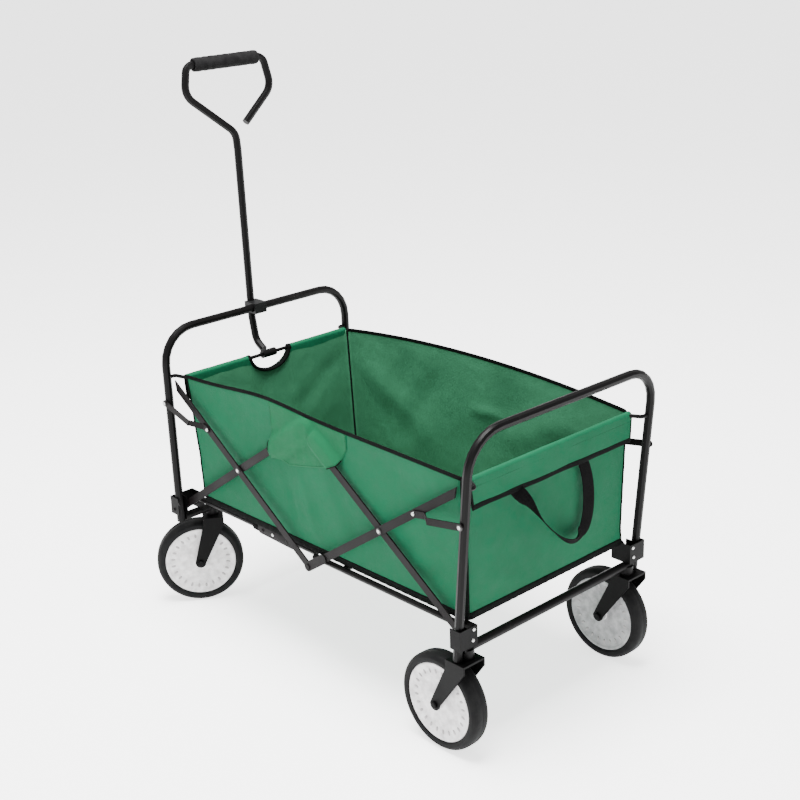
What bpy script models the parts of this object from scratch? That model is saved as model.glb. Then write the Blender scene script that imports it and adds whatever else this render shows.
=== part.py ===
"""Folding camp wagon: two tube end frames joined by scissor side bars, a folding floor frame, a fabric
basket, a pull handle, two front casters and two fixed rear wheels.

+X points to the handle end, +Y to the wagon's left and +Z up. The origin is on the ground, under the
middle of the wagon's overall box. Lengths are in metres and angles in degrees unless a name says rad.
"""

import math

import bmesh
import bpy
from mathutils import Matrix, Vector

# ---- Driving dimensions -------------------------------------------------------------------------
MID_X = -0.0194  # middle of the folding sides, seen from the origin
GAP = 0.0003  # clearance between pieces that touch

# Scissor sides
HALF_SPAN = 0.410  # middle of the folding sides to an end frame's lower pivot
PIVOT_Z = 0.232  # height of the lower pivots and of the bottom centre hinge
PIVOT_RISE = 0.279  # lower pivot to the top centre hinge
FOLD_DEG = 42.0  # how far a bar turns from open to folded
BAR_HALF_HEIGHT = 0.0078
BAR_THICK = 0.003
BAR_END_CUT = 0.034  # how far a bar stops short of a hinge where another bar swings past
BAR_TOP_CUT = 0.015  # how far an upper bar stops short of the point straight above the lower pivot
LINK_REACH = 0.137  # point straight above the lower pivot to the link's joint on the upper bar
LINK_HALF_HEIGHT = 0.0065
LINK_THICK = 0.002
LINK_STEP = (0.078, 0.106)  # distances from a link's bolt between which the link steps inwards
LINK_OVERLAP = 0.003  # how far a link's flat parts reach into its step
HINGE_PLATE_HALF = 0.0095
HINGE_PLATE_THICK = 0.002
HINGE_PLATE_REACH = 0.054

# Studs, bolts and rivets
STUD_R = 0.0030
STUD_HOLE_R = 0.0036
HEAD_R = 0.0062
HEAD_THICK = 0.0022

# Corner brackets. The covers are how far each wall reaches past the post or the rail's pivot
BRACKET_BELOW_PIVOT = 0.0105
BRACKET_ABOVE_PIVOT = 0.0275
BRACKET_WALL = 0.0020
BRACKET_POST_CLEARANCE = 0.0040
BRACKET_BAR_CLEARANCE = 0.0015
BRACKET_RAIL_CLEARANCE = 0.0005
BRACKET_POST_COVER = 0.010
BRACKET_PIVOT_COVER = 0.014
BRACKET_RAIL_COVER = 0.009

# Side planes, as distances from the middle plane
POST_Y = 0.240
LOWER_BAR_Y = 0.2249
UPPER_BAR_Y = 0.2282
LINK_Y = 0.2506

# End frames
TUBE_R = 0.0085
HOOP_TOP_Z = 0.6155
HOOP_CORNER_R = 0.070
FRONT_POST_X = 0.405  # post axis at the height POST_REF_Z, from the middle of the folding sides
REAR_POST_X = -0.411
POST_REF_Z = 0.250
FRONT_LEAN_DEG = 1.0
REAR_LEAN_DEG = 4.9
FRONT_POST_FOOT_Z = 0.2045
REAR_POST_FOOT_Z = 0.1965
CROSSBAR_Z = 0.212

# Rim rods, which carry the basket's hem
ROD_R = 0.004
ROD_Z = 0.520
FRONT_ROD_X = 0.383
REAR_ROD_X = -0.409
FRONT_ROD_BEND_Y = 0.2145
REAR_ROD_BEND_Y = 0.207
ROD_ELBOW_Y = 0.2205  # where a rod turns outwards beside the post, inside the swinging bars

# Floor frame
RAIL_R = 0.006
RAIL_Z = 0.250
RAIL_PIVOT_X = 0.388
REAR_RAIL_Y = 0.2165
FRONT_RAIL_Y = 0.2035
RAIL_CROSS_X = 0.085  # cross tube to the middle of the folding sides

# Basket
BASKET_TOP_Z = 0.529
BASKET_BOTTOM_Z = 0.2605
BASKET_WALL = 0.004
BASKET_TOP = (-0.4045, 0.378, 0.219)  # rear x, front x and half width of the outer face at the rim
BASKET_BOTTOM = (-0.403, 0.356, 0.212)  # the same at the floor
NOTCH_HALF_WIDTH = 0.052
NOTCH_DEPTH = 0.034

# Carry strap
STRAP_THICK = 0.0022
STRAP_HALF_WIDTH = 0.0125
STRAP_CORNER_R = 0.030
STRAP_PATH = ((0.098, 0.484), (-0.050, 0.306), (-0.106, 0.325), (-0.100, 0.400), (-0.0715, 0.475))  # y and z

# Handle
HANDLE_R = 0.008
GRIP_R = 0.0145
GRIP_HALF_LENGTH = 0.079
GRIP_MID_Y = 0.003
SLEEVE_R = 0.0085
SLEEVE_HALF_LENGTH = 0.017
HANDLE_FOOT = (0.3985, 0.5245)  # x and z where the handle's tube leaves the sleeve
HANDLE_SHAFT = ((0.4230, 0.5400), (0.4325, 0.5900), (0.4425, 0.9430))  # x and z up the shaft
LOOP = (  # y and z round the open loop, from the shaft to its free end
    (0.0, 0.9780),
    (0.1110, 1.0640),
    (0.0985, 1.1210),
    (-0.0925, 1.1210),
    (-0.1050, 1.0590),
    (-0.0290, 0.9950),
)
LOOP_CORNERS_R = (0.030, 0.034, 0.017, 0.017, 0.034)  # bend radii, from the shaft's top
SHAFT_BEND_R = 0.030
LOOP_LEAN = 0.11  # forward run per metre of rise, above the shaft

# Wheels
WHEEL_R = 0.092
TYRE_WIDTH = 0.040
RIM_R = 0.0752
RIM_WIDTH = 0.034
AXLE_R = 0.004
FORK_ARM_THICK = 0.003
FORK_HALF_GAP = 0.0235
FORK_CROWN_Z = 0.1900
FORK_CROWN_THICK = 0.004
FORK_TOP_HALF_WIDTH = 0.022
FORK_TIP_R = 0.0115
FORK_INSET = 0.0001  # keeps the crown's faces just inside the arms'
STEM_R = 0.005
STEM_CUP_R = 0.013
STEM_CUP_HEIGHT = 0.0075
REAR_STEM = (-0.408, 0.2235)
REAR_TRAIL = 0.051
REAR_WHEEL_DEG = 0.0  # direction from the stem to the wheel, turned from +X outwards
FRONT_STEM = (0.406, 0.159)
FRONT_TRAIL = 0.033
FRONT_WHEEL_DEG = 55.6

# Fineness of round shapes
WHEEL_STEPS = 32
SMALL_STEPS = 12
ARC_STEP_DEG = 15.0

SIDES = ((1, "left"), (-1, "right"))

# ---- Derived dimensions -------------------------------------------------------------------------
BAR_LENGTH = math.hypot(HALF_SPAN, PIVOT_RISE)
OPEN_RAD = math.atan2(PIVOT_RISE, HALF_SPAN)
FOLDED_RAD = OPEN_RAD + math.radians(FOLD_DEG)
TOP_HINGE_Z = PIVOT_Z + PIVOT_RISE

COLOURS = {
    # name: (red, green, blue), roughness, metallic
    "frame_black": ((0.022, 0.020, 0.020), 0.38, 0.0),
    "zinc": ((0.62, 0.62, 0.63), 0.30, 1.0),
    "green_fabric": ((0.020, 0.190, 0.085), 0.85, 0.0),
    "black_webbing": ((0.012, 0.012, 0.013), 0.80, 0.0),
    "tyre_rubber": ((0.018, 0.018, 0.019), 0.70, 0.0),
    "disc_plastic": ((0.72, 0.71, 0.69), 0.45, 0.0),
    "foam": ((0.025, 0.024, 0.025), 0.90, 0.0),
    "black_plastic": ((0.016, 0.016, 0.017), 0.45, 0.0),
}


# ---- Helpers ------------------------------------------------------------------------------------
def clear_scene():
    for old in list(bpy.data.objects):
        bpy.data.objects.remove(old, do_unlink=True)


def new_collection(name):
    collection = bpy.data.collections.new(name)
    bpy.context.scene.collection.children.link(collection)
    return collection


def make_material(name):
    colour, roughness, metallic = COLOURS[name]
    material = bpy.data.materials.new(name)
    material.use_nodes = True
    shader = material.node_tree.nodes["Principled BSDF"]
    shader.inputs["Base Color"].default_value = (*colour, 1.0)
    shader.inputs["Roughness"].default_value = roughness
    shader.inputs["Metallic"].default_value = metallic
    material.diffuse_color = (*colour, 1.0)
    return material


def empty_at(name, place):
    """An empty on a joint's axis, which the pieces of the moving body hang from."""
    empty = bpy.data.objects.new(name, None)
    empty.location = place
    PARTS.objects.link(empty)
    return empty


def add(obj, name, colour, parent):
    """Names a finished piece, colours it with a material of its own and hangs it from its body."""
    obj.name = name
    obj.data.materials.clear()
    material = make_material(colour)
    material.name = name
    obj.data.materials.append(material)
    for collection in list(obj.users_collection):
        collection.objects.unlink(obj)
    PARTS.objects.link(obj)
    bpy.context.view_layer.update()
    obj.parent = parent
    obj.matrix_parent_inverse = parent.matrix_world.inverted()
    if obj.type == "MESH":
        obj.data.shade_smooth()
        obj.data.set_sharp_from_angle(angle=math.radians(35))
    return obj


def linked(data):
    obj = bpy.data.objects.new("piece", data)
    CUTTERS.objects.link(obj)
    return obj


def box(low, high):
    """A box between two opposite corners."""
    mesh = bpy.data.meshes.new("box")
    cage = bmesh.new()
    bmesh.ops.create_cube(cage, size=1.0)
    for vertex in cage.verts:
        for axis in range(3):
            vertex.co[axis] = low[axis] if vertex.co[axis] < 0 else high[axis]
    cage.to_mesh(mesh)
    cage.free()
    return linked(mesh)


def rod(start, end, radius, steps=SMALL_STEPS):
    """A plain cylinder from one point to another."""
    start, end = Vector(start), Vector(end)
    mesh = bpy.data.meshes.new("rod")
    cage = bmesh.new()
    bmesh.ops.create_cone(
        cage, cap_ends=True, segments=steps, radius1=radius, radius2=radius, depth=(end - start).length
    )
    cage.to_mesh(mesh)
    cage.free()
    obj = linked(mesh)
    obj.rotation_mode = "QUATERNION"
    obj.rotation_quaternion = (end - start).to_track_quat("Z", "Y")
    obj.location = (start + end) / 2
    return obj


def turned(profile, centre, axis, ring=False, steps=SMALL_STEPS):
    """A turned solid. The profile holds (radius, height) pairs down its outer side."""
    count = len(profile)
    mesh = bpy.data.meshes.new("turned")
    edges = [(i, i + 1) for i in range(count - 1)]
    if ring:
        edges.append((count - 1, 0))
    mesh.from_pydata([(radius, 0.0, height) for radius, height in profile], edges, [])
    obj = linked(mesh)
    screw = obj.modifiers.new("turn", "SCREW")
    screw.axis = "Z"
    screw.angle = math.tau
    screw.steps = steps
    screw.render_steps = steps
    screw.use_merge_vertices = True
    screw.merge_threshold = 0.00001
    screw.use_smooth_shade = True
    obj.rotation_mode = "QUATERNION"
    obj.rotation_quaternion = Vector(axis).to_track_quat("Z", "Y")
    obj.location = centre
    return obj


def tube(points, radius, fineness=2):
    """A round tube along a list of points."""
    curve = bpy.data.curves.new("tube", "CURVE")
    curve.dimensions = "3D"
    curve.bevel_depth = radius
    curve.bevel_resolution = fineness
    curve.use_fill_caps = True
    spline = curve.splines.new("POLY")
    spline.points.add(len(points) - 1)
    for point, place in zip(spline.points, points):
        point.co = (*place, 1.0)
    return linked(curve)


def plate(outline, holes, y_middle, thickness):
    """A flat plate standing along the wagon: its outlines hold (x, z) pairs."""
    curve = bpy.data.curves.new("plate", "CURVE")
    curve.dimensions = "2D"
    curve.fill_mode = "BOTH"
    curve.extrude = thickness / 2
    for points in [outline, *holes]:
        spline = curve.splines.new("POLY")
        spline.points.add(len(points) - 1)
        spline.use_cyclic_u = True
        for point, (x, z) in zip(spline.points, points):
            point.co = (x, z, 0.0, 1.0)
    obj = linked(curve)
    obj.rotation_euler = (math.pi / 2, 0.0, 0.0)
    obj.location = (0.0, y_middle, 0.0)
    return obj


def as_mesh(curve_obj):
    """Turns a curve piece into a closed mesh piece in the same place."""
    bpy.context.view_layer.update()
    evaluated = curve_obj.evaluated_get(bpy.context.evaluated_depsgraph_get())
    mesh = bpy.data.meshes.new_from_object(evaluated)
    cage = bmesh.new()
    cage.from_mesh(mesh)
    bmesh.ops.remove_doubles(cage, verts=cage.verts, dist=0.000001)
    bmesh.ops.recalc_face_normals(cage, faces=cage.faces)
    cage.to_mesh(mesh)
    cage.free()
    obj = linked(mesh)
    obj.matrix_world = curve_obj.matrix_world.copy()
    bpy.data.objects.remove(curve_obj)
    return obj


def combine(base, others, operation):
    """Adds the others to the base ("UNION") or cuts them out of it ("DIFFERENCE")."""
    for other in others:
        boolean = base.modifiers.new(operation.lower(), "BOOLEAN")
        boolean.operation = operation
        boolean.object = other
        other.hide_render = True
        other.display_type = "WIRE"
    return base


def circle(centre, radius, steps=SMALL_STEPS):
    turns = [math.tau * i / steps for i in range(steps)]
    return [(centre[0] + radius * math.cos(turn), centre[1] + radius * math.sin(turn)) for turn in turns]


def half_turn(centre, radius, first_deg, is_round=True):
    """Points from first_deg through half a turn round a centre, or only the two ends of that arc."""
    angles = range(0, 181, 30) if is_round else (0, 180)
    turns = [math.radians(first_deg + angle) for angle in angles]
    return [(centre[0] + radius * math.cos(turn), centre[1] + radius * math.sin(turn)) for turn in turns]


def bar_outline(start, end, half_height, round_start=True, round_end=True):
    """The side view of a flat bar between two points, with round or square ends."""
    heading = math.degrees(math.atan2(end[1] - start[1], end[0] - start[0]))
    far_end = half_turn(end, half_height, heading - 90, round_end)
    return far_end + half_turn(start, half_height, heading + 90, round_start)


def slant_start(outline, start, end):
    """The outline of a bar with its square start cut at 45 degrees, so that it clears the hoop's corner."""
    away = (Vector(start) - Vector(end)).normalized() * BAR_HALF_HEIGHT
    corners = [Vector(point) + (away if point[1] > start[1] else -away) for point in outline[-2:]]
    return outline[:-2] + [tuple(corner) for corner in corners]


def rounded(points, radii):
    """The points with each inner corner replaced by an arc. radii is one radius, or one for each corner."""
    points = [Vector(point) for point in points]
    if isinstance(radii, float):
        radii = (radii,) * (len(points) - 2)
    path = [points[0]]
    for before, corner, after, radius in zip(points, points[1:], points[2:], radii):
        back, ahead = (before - corner).normalized(), (after - corner).normalized()
        half = back.angle(ahead) / 2
        reach = min(radius / math.tan(half), 0.49 * (before - corner).length, 0.49 * (after - corner).length)
        arc_radius = reach * math.tan(half)
        centre = corner + (back + ahead).normalized() * arc_radius / math.sin(half)
        first = corner + back * reach - centre
        last = corner + ahead * reach - centre
        sweep = math.pi - 2 * half
        steps = max(2, math.ceil(math.degrees(sweep) / ARC_STEP_DEG))
        for i in range(steps + 1):
            share = i / steps
            weight_first = math.sin((1 - share) * sweep) / math.sin(sweep)
            weight_last = math.sin(share * sweep) / math.sin(sweep)
            path.append(centre + first * weight_first + last * weight_last)
    return path + [points[-1]]


def post_x(end, z):
    """The x of an end frame's post at a height: end is +1 at the front and -1 at the rear."""
    base = FRONT_POST_X if end > 0 else REAR_POST_X
    lean = FRONT_LEAN_DEG if end > 0 else REAR_LEAN_DEG
    return MID_X + base + end * math.tan(math.radians(lean)) * (z - POST_REF_Z)


def pivot(end):
    """The lower pivot of an end frame, as (x, z)."""
    return MID_X + end * HALF_SPAN, PIVOT_Z


def link_bolt(end):
    """The link's bolt on a post, as (x, z), where one length of link suits both open and folded."""
    lean = math.tan(math.radians(FRONT_LEAN_DEG if end > 0 else REAR_LEAN_DEG))
    inboard = end * (pivot(end)[0] - post_x(end, PIVOT_Z))
    rest = BAR_LENGTH - LINK_REACH
    sines = math.sin(FOLDED_RAD) + math.sin(OPEN_RAD)
    upright = sines * (rest**2 - LINK_REACH**2) / (2 * rest)
    slope = LINK_REACH * (math.cos(OPEN_RAD) - math.cos(FOLDED_RAD))
    slope /= rest * (math.sin(FOLDED_RAD) - math.sin(OPEN_RAD))
    rise = (upright + slope * inboard) / (1 + slope * lean)
    return post_x(end, PIVOT_Z + rise), PIVOT_Z + rise


def link_joint(end):
    """Where a link meets its upper bar, as (x, z), with the wagon open."""
    x = MID_X + end * (HALF_SPAN - LINK_REACH * math.cos(OPEN_RAD))
    return x, TOP_HINGE_Z - LINK_REACH * math.sin(OPEN_RAD)


def crossing(end):
    return MID_X + end * HALF_SPAN / 2, PIVOT_Z + PIVOT_RISE / 2


def between(start, end, distance):
    """The point at a distance from start towards end, in two dimensions."""
    start, end = Vector(start), Vector(end)
    point = start + (end - start).normalized() * distance
    return point.x, point.y


# ---- The pieces ---------------------------------------------------------------------------------
def build_end_frame(end, name, parent):
    """A hoop, its lower crossbar, two corner brackets and two link bolts."""
    foot_z = FRONT_POST_FOOT_Z if end > 0 else REAR_POST_FOOT_Z
    corners = []
    for y, z in ((POST_Y, foot_z), (POST_Y, HOOP_TOP_Z), (-POST_Y, HOOP_TOP_Z), (-POST_Y, foot_z)):
        corners.append((post_x(end, z), y, z))
    add(tube(rounded(corners, HOOP_CORNER_R), TUBE_R, 3), f"{name}_hoop", "frame_black", parent)

    bar_x = post_x(end, CROSSBAR_Z)
    reach = POST_Y - TUBE_R - GAP
    stem_x, stem_y = FRONT_STEM if end > 0 else REAR_STEM
    stem_x += MID_X
    crossbar = rod((bar_x, -reach, CROSSBAR_Z), (bar_x, reach, CROSSBAR_Z), TUBE_R, 16)
    cup_bottom = FORK_CROWN_Z + FORK_CROWN_THICK + GAP
    cups = []
    for side in (1, -1):
        y = side * min(stem_y, reach - STEM_CUP_R)
        cup = rod((stem_x, y, cup_bottom), (stem_x, y, CROSSBAR_Z), STEM_CUP_R, 16)
        bore_end = (stem_x, side * stem_y, cup_bottom + STEM_CUP_HEIGHT + GAP)
        bore = rod((stem_x, side * stem_y, WHEEL_R), bore_end, STEM_R + GAP)
        cups.append(combine(cup, [bore], "DIFFERENCE"))
    combine(crossbar, cups, "UNION")
    add(crossbar, f"{name}_crossbar", "frame_black", parent)

    pivot_x, pivot_z = pivot(end)
    bolt_x, bolt_z = link_bolt(end)
    rail_x = MID_X + end * RAIL_PIVOT_X
    rail_y = FRONT_RAIL_Y if end > 0 else REAR_RAIL_Y
    for side, side_name in SIDES:
        build_bracket(end, side, f"{name}_{side_name}_bracket", (pivot_x, pivot_z), rail_x, rail_y, parent)
        build_link_bolt(f"{name}_{side_name}_link_bolt", bolt_x, bolt_z, side, parent)


def build_link_bolt(name, x, z, side, parent):
    """A shouldered bolt on the outer face of a post, which a link turns on."""
    foot = POST_Y + TUBE_R + GAP
    head = LINK_Y + LINK_THICK / 2 + GAP
    profile = [
        (0.0, head + HEAD_THICK),
        (0.7 * HEAD_R, head + HEAD_THICK),
        (HEAD_R, head + 0.4 * HEAD_THICK),
        (HEAD_R, head),
        (STUD_R, head),
        (STUD_R, foot + 0.0004),
        (1.5 * STUD_R, foot + 0.0004),
        (1.5 * STUD_R, foot),
        (0.0, foot),
    ]
    add(turned(profile, (x, 0.0, z), (0.0, side, 0.0)), name, "zinc", parent)


def build_bracket(end, side, name, pivot_place, rail_x, rail_y, parent):
    """A pressed channel round the foot of a post, with studs for a scissor bar and a floor rail.

    Three walls stand on its web: outside the post, between the post and the bars, and inside the rail.
    """
    pivot_x, pivot_z = pivot_place
    low_z, high_z = PIVOT_Z - BRACKET_BELOW_PIVOT, PIVOT_Z + BRACKET_ABOVE_PIVOT
    post = post_x(end, PIVOT_Z)
    bar_reach = end * (pivot_x - post) + BAR_HALF_HEIGHT + BRACKET_BAR_CLEARANCE
    web_in = post + end * max(TUBE_R + BRACKET_POST_CLEARANCE, bar_reach)
    web_out = web_in + end * BRACKET_WALL
    wall_overlap = web_in + end * BRACKET_WALL / 2
    outer_y = POST_Y + TUBE_R + GAP
    pivot_wall = (POST_Y - TUBE_R - GAP - BRACKET_WALL / 2, POST_Y - TUBE_R - GAP)
    rail_wall_y = rail_y - RAIL_R - BRACKET_RAIL_CLEARANCE
    rail_wall = (rail_wall_y - BRACKET_WALL, rail_wall_y)

    def span(x0, x1, y0, y1):
        low = (min(x0, x1), min(side * y0, side * y1), low_z)
        high = (max(x0, x1), max(side * y0, side * y1), high_z)
        return box(low, high)

    def stud(x, z, y0, y1, radius):
        return rod((x, side * y0, z), (x, side * y1, z), radius)

    web = span(web_in, web_out, rail_wall[0], outer_y + BRACKET_WALL)
    walls = [
        span(post - end * BRACKET_POST_COVER, wall_overlap, outer_y, outer_y + BRACKET_WALL),
        span(post - end * BRACKET_PIVOT_COVER, wall_overlap, *pivot_wall),
        span(rail_x - end * BRACKET_RAIL_COVER, wall_overlap, *rail_wall),
    ]
    bar_face = LOWER_BAR_Y - BAR_THICK / 2 - GAP
    studs = [
        stud(pivot_x, pivot_z, pivot_wall[0] + 0.0005, bar_face - HEAD_THICK / 2, STUD_R),
        stud(pivot_x, pivot_z, bar_face, bar_face - HEAD_THICK, HEAD_R),
        stud(rail_x, RAIL_Z, rail_wall[1] - 0.0005, rail_y + RAIL_R - 0.001, 0.8 * STUD_R),
    ]
    combine(web, [*walls, *studs], "UNION")
    add(web, name, "frame_black", parent)


def build_scissor(end, name, upper_parent, lower_parent):
    """Both sides' upper and lower bars of one end, with the rivets where they cross."""
    pivot_place = pivot(end)
    top_end = (pivot_place[0], TOP_HINGE_Z)
    bottom_hinge = (MID_X, PIVOT_Z)
    top_hinge = (MID_X, TOP_HINGE_Z)
    cross = crossing(end)
    is_front = end > 0
    upper_start = between(top_end, bottom_hinge, BAR_TOP_CUT)
    upper_stop = bottom_hinge if is_front else between(bottom_hinge, top_end, BAR_END_CUT)
    lower_stop = between(top_hinge, pivot_place, 0.003 if is_front else BAR_END_CUT)
    for side, side_name in SIDES:
        holes = [circle(cross, STUD_HOLE_R)]
        if is_front:
            holes.append(circle(bottom_hinge, STUD_HOLE_R))
        outline = slant_start(
            bar_outline(upper_start, upper_stop, BAR_HALF_HEIGHT, False, is_front), upper_start, upper_stop
        )
        upper = plate(outline, holes, side * UPPER_BAR_Y, BAR_THICK)
        add(upper, f"{name}_{side_name}_upper_bar", "frame_black", upper_parent)
        outline = bar_outline(pivot_place, lower_stop, BAR_HALF_HEIGHT, round_end=is_front)
        lower = plate(outline, [circle(pivot_place, STUD_HOLE_R)], side * LOWER_BAR_Y, BAR_THICK)
        add(lower, f"{name}_{side_name}_lower_bar", "frame_black", lower_parent)
        foot = LOWER_BAR_Y + BAR_THICK / 2 + GAP / 2
        head = UPPER_BAR_Y + BAR_THICK / 2 + GAP
        profile = [
            (0.0, head + HEAD_THICK),
            (0.65 * HEAD_R, head + 0.85 * HEAD_THICK),
            (HEAD_R, head + 0.3 * HEAD_THICK),
            (HEAD_R, head),
            (STUD_R, head),
            (STUD_R, foot),
            (0.0, foot),
        ]
        rivet = turned(profile, (cross[0], 0.0, cross[1]), (0.0, side, 0.0))
        add(rivet, f"{name}_{side_name}_cross_rivet", "zinc", lower_parent)


def sloped_strap(start, start_y, end, end_y, half_height, thickness):
    """A flat strap between two points of the side view that also crosses from one side plane to another."""
    start, end = Vector(start), Vector(end)
    up = (end - start).normalized().orthogonal() * half_height
    cage = bmesh.new()
    for place, y in ((start, start_y), (end, end_y)):
        for edge in (up, -up):
            for face in (thickness / 2, -thickness / 2):
                cage.verts.new((place.x + edge.x, y + face, place.y + edge.y))
    bmesh.ops.convex_hull(cage, input=cage.verts)
    bmesh.ops.recalc_face_normals(cage, faces=cage.faces)
    mesh = bpy.data.meshes.new("strap")
    cage.to_mesh(mesh)
    cage.free()
    return linked(mesh)


def build_links(end, name, parent):
    """The short links from the posts to the upper bars. Each steps inwards beyond its post."""
    bolt, joint = link_bolt(end), link_joint(end)
    inner_y = UPPER_BAR_Y + (BAR_THICK + LINK_THICK) / 2 + GAP
    step_start, step_end = (between(bolt, joint, distance) for distance in LINK_STEP)
    near_end = between(bolt, joint, LINK_STEP[0] + LINK_OVERLAP)
    far_start = between(bolt, joint, LINK_STEP[1] - LINK_OVERLAP)
    for side, side_name in SIDES:
        near = bar_outline(bolt, near_end, LINK_HALF_HEIGHT, round_end=False)
        far = bar_outline(far_start, joint, LINK_HALF_HEIGHT, round_start=False)
        link = as_mesh(plate(near, [circle(bolt, STUD_HOLE_R)], side * LINK_Y, LINK_THICK))
        far_part = as_mesh(plate(far, [circle(joint, STUD_HOLE_R)], side * inner_y, LINK_THICK))
        step = sloped_strap(
            step_start, side * LINK_Y, step_end, side * inner_y, LINK_HALF_HEIGHT - 0.0002, 0.9 * LINK_THICK
        )
        combine(link, [step, far_part], "UNION")
        add(link, f"{name}_{side_name}_link", "frame_black", parent)


def build_bottom_hinges(parent):
    """The plates and pins that join the front upper bars to the rear ones at the middle."""
    hinge = (MID_X, PIVOT_Z)
    reach = between(hinge, (MID_X - HALF_SPAN, TOP_HINGE_Z), HINGE_PLATE_REACH)
    outline = bar_outline(hinge, reach, HINGE_PLATE_HALF)
    inner_face, outer_face = UPPER_BAR_Y - BAR_THICK / 2, UPPER_BAR_Y + BAR_THICK / 2
    plate_y = outer_face + GAP + HINGE_PLATE_THICK / 2
    head_y = outer_face + HINGE_PLATE_THICK + 0.9 * HEAD_THICK
    for side, side_name in SIDES:
        strap = as_mesh(plate(outline, [], side * plate_y, HINGE_PLATE_THICK))
        pin = rod((MID_X, side * inner_face, PIVOT_Z), (MID_X, side * plate_y, PIVOT_Z), STUD_R)
        head = rod((MID_X, side * plate_y, PIVOT_Z), (MID_X, side * head_y, PIVOT_Z), HEAD_R)
        combine(strap, [pin, head], "UNION")
        add(strap, f"{side_name}_bottom_hinge", "frame_black", parent)


def build_floor(end, name, parent):
    """Two rails that swing up from an end frame, and the tube between them."""
    y = FRONT_RAIL_Y if end > 0 else REAR_RAIL_Y
    start_x = MID_X + end * (RAIL_PIVOT_X + 0.006)
    stop_x = MID_X + end * 0.004
    cross_x = MID_X + end * RAIL_CROSS_X
    for side, side_name in SIDES:
        rail = rod((start_x, side * y, RAIL_Z), (stop_x, side * y, RAIL_Z), RAIL_R)
        pivot_x = MID_X + end * RAIL_PIVOT_X
        bore = rod((pivot_x, side * (y - 0.02), RAIL_Z), (pivot_x, side * (y + 0.02), RAIL_Z), STUD_R)
        combine(rail, [bore], "DIFFERENCE")
        add(rail, f"{name}_{side_name}_floor_rail", "frame_black", parent)
    reach = y - RAIL_R - GAP
    cross = rod((cross_x, -reach, RAIL_Z), (cross_x, reach, RAIL_Z), RAIL_R)
    add(cross, f"{name}_floor_cross_tube", "frame_black", parent)


def build_rim_rod(end, name, parent):
    """The rod in the basket's hem. Its bent ends reach the posts."""
    rod_x = MID_X + (FRONT_ROD_X if end > 0 else REAR_ROD_X)
    bend_y = FRONT_ROD_BEND_Y if end > 0 else REAR_ROD_BEND_Y
    post = Vector((post_x(end, ROD_Z), POST_Y))
    half = [Vector((rod_x, bend_y)), Vector((post.x, ROD_ELBOW_Y))]
    half.append(post + (half[-1] - post).normalized() * (TUBE_R + GAP))
    corners = [(x, -y, ROD_Z) for x, y in reversed(half)] + [(x, y, ROD_Z) for x, y in half]
    add(tube(rounded(corners, 0.012), ROD_R), f"{name}_rim_rod", "frame_black", parent)


def tapered_box(top, bottom, top_z, bottom_z):
    """A box whose ends and sides slope. top and bottom hold (rear x, front x, half width)."""
    obj = box((-1.0, -1.0, 0.0), (1.0, 1.0, 1.0))
    for vertex in obj.data.vertices:
        rear, front, half = top if vertex.co.z > 0.5 else bottom
        x = front if vertex.co.x > 0 else rear
        y = half if vertex.co.y > 0 else -half
        vertex.co = (MID_X + x, y, top_z if vertex.co.z > 0.5 else bottom_z)
    return obj


def build_basket(parent):
    """The open fabric tub, with a half-moon notch in its front rim for the handle's foot."""
    outer = tapered_box(BASKET_TOP, BASKET_BOTTOM, BASKET_TOP_Z, BASKET_BOTTOM_Z)
    shrink = (BASKET_WALL, -BASKET_WALL, -BASKET_WALL)
    inner = tapered_box(
        [size + less for size, less in zip(BASKET_TOP, shrink)],
        [size + less for size, less in zip(BASKET_BOTTOM, shrink)],
        BASKET_TOP_Z + 0.002,
        BASKET_BOTTOM_Z + BASKET_WALL,
    )
    notch_x = MID_X + BASKET_TOP[1]
    notch_back = (notch_x - 5 * BASKET_WALL, 0.0, BASKET_TOP_Z)
    notch_front = (notch_x + 5 * BASKET_WALL, 0.0, BASKET_TOP_Z)
    notch = rod(notch_back, notch_front, NOTCH_HALF_WIDTH, 24)
    notch.scale = (NOTCH_DEPTH / NOTCH_HALF_WIDTH, 1.0, 1.0)
    combine(outer, [inner, notch], "DIFFERENCE")
    add(outer, "basket", "green_fabric", parent)


def ribbon(path, half_width):
    """The outline of a band of constant width along a flat path."""
    left, right = [], []
    for i, point in enumerate(path):
        along = (path[min(i + 1, len(path) - 1)] - path[max(i - 1, 0)]).normalized()
        across = Vector((-along.y, along.x)) * half_width
        left.append(tuple(point + across))
        right.append(tuple(point - across))
    return left + right[::-1]


def build_strap(parent):
    """The webbing carry loop that hangs on the rear panel."""
    curve = bpy.data.curves.new("strap", "CURVE")
    curve.dimensions = "2D"
    curve.fill_mode = "BOTH"
    curve.extrude = STRAP_THICK / 2
    outline = ribbon(rounded(STRAP_PATH, STRAP_CORNER_R), STRAP_HALF_WIDTH)
    spline = curve.splines.new("POLY")
    spline.points.add(len(outline) - 1)
    spline.use_cyclic_u = True
    for point, (y, z) in zip(spline.points, outline):
        point.co = (y, z, 0.0, 1.0)
    obj = linked(curve)
    obj.rotation_euler = (math.pi / 2, 0.0, math.pi / 2)
    obj.location = (MID_X + BASKET_TOP[0] - STRAP_THICK / 2 - 0.002, 0.0, 0.0)
    add(obj, "carry_strap", "black_webbing", parent)


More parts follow.
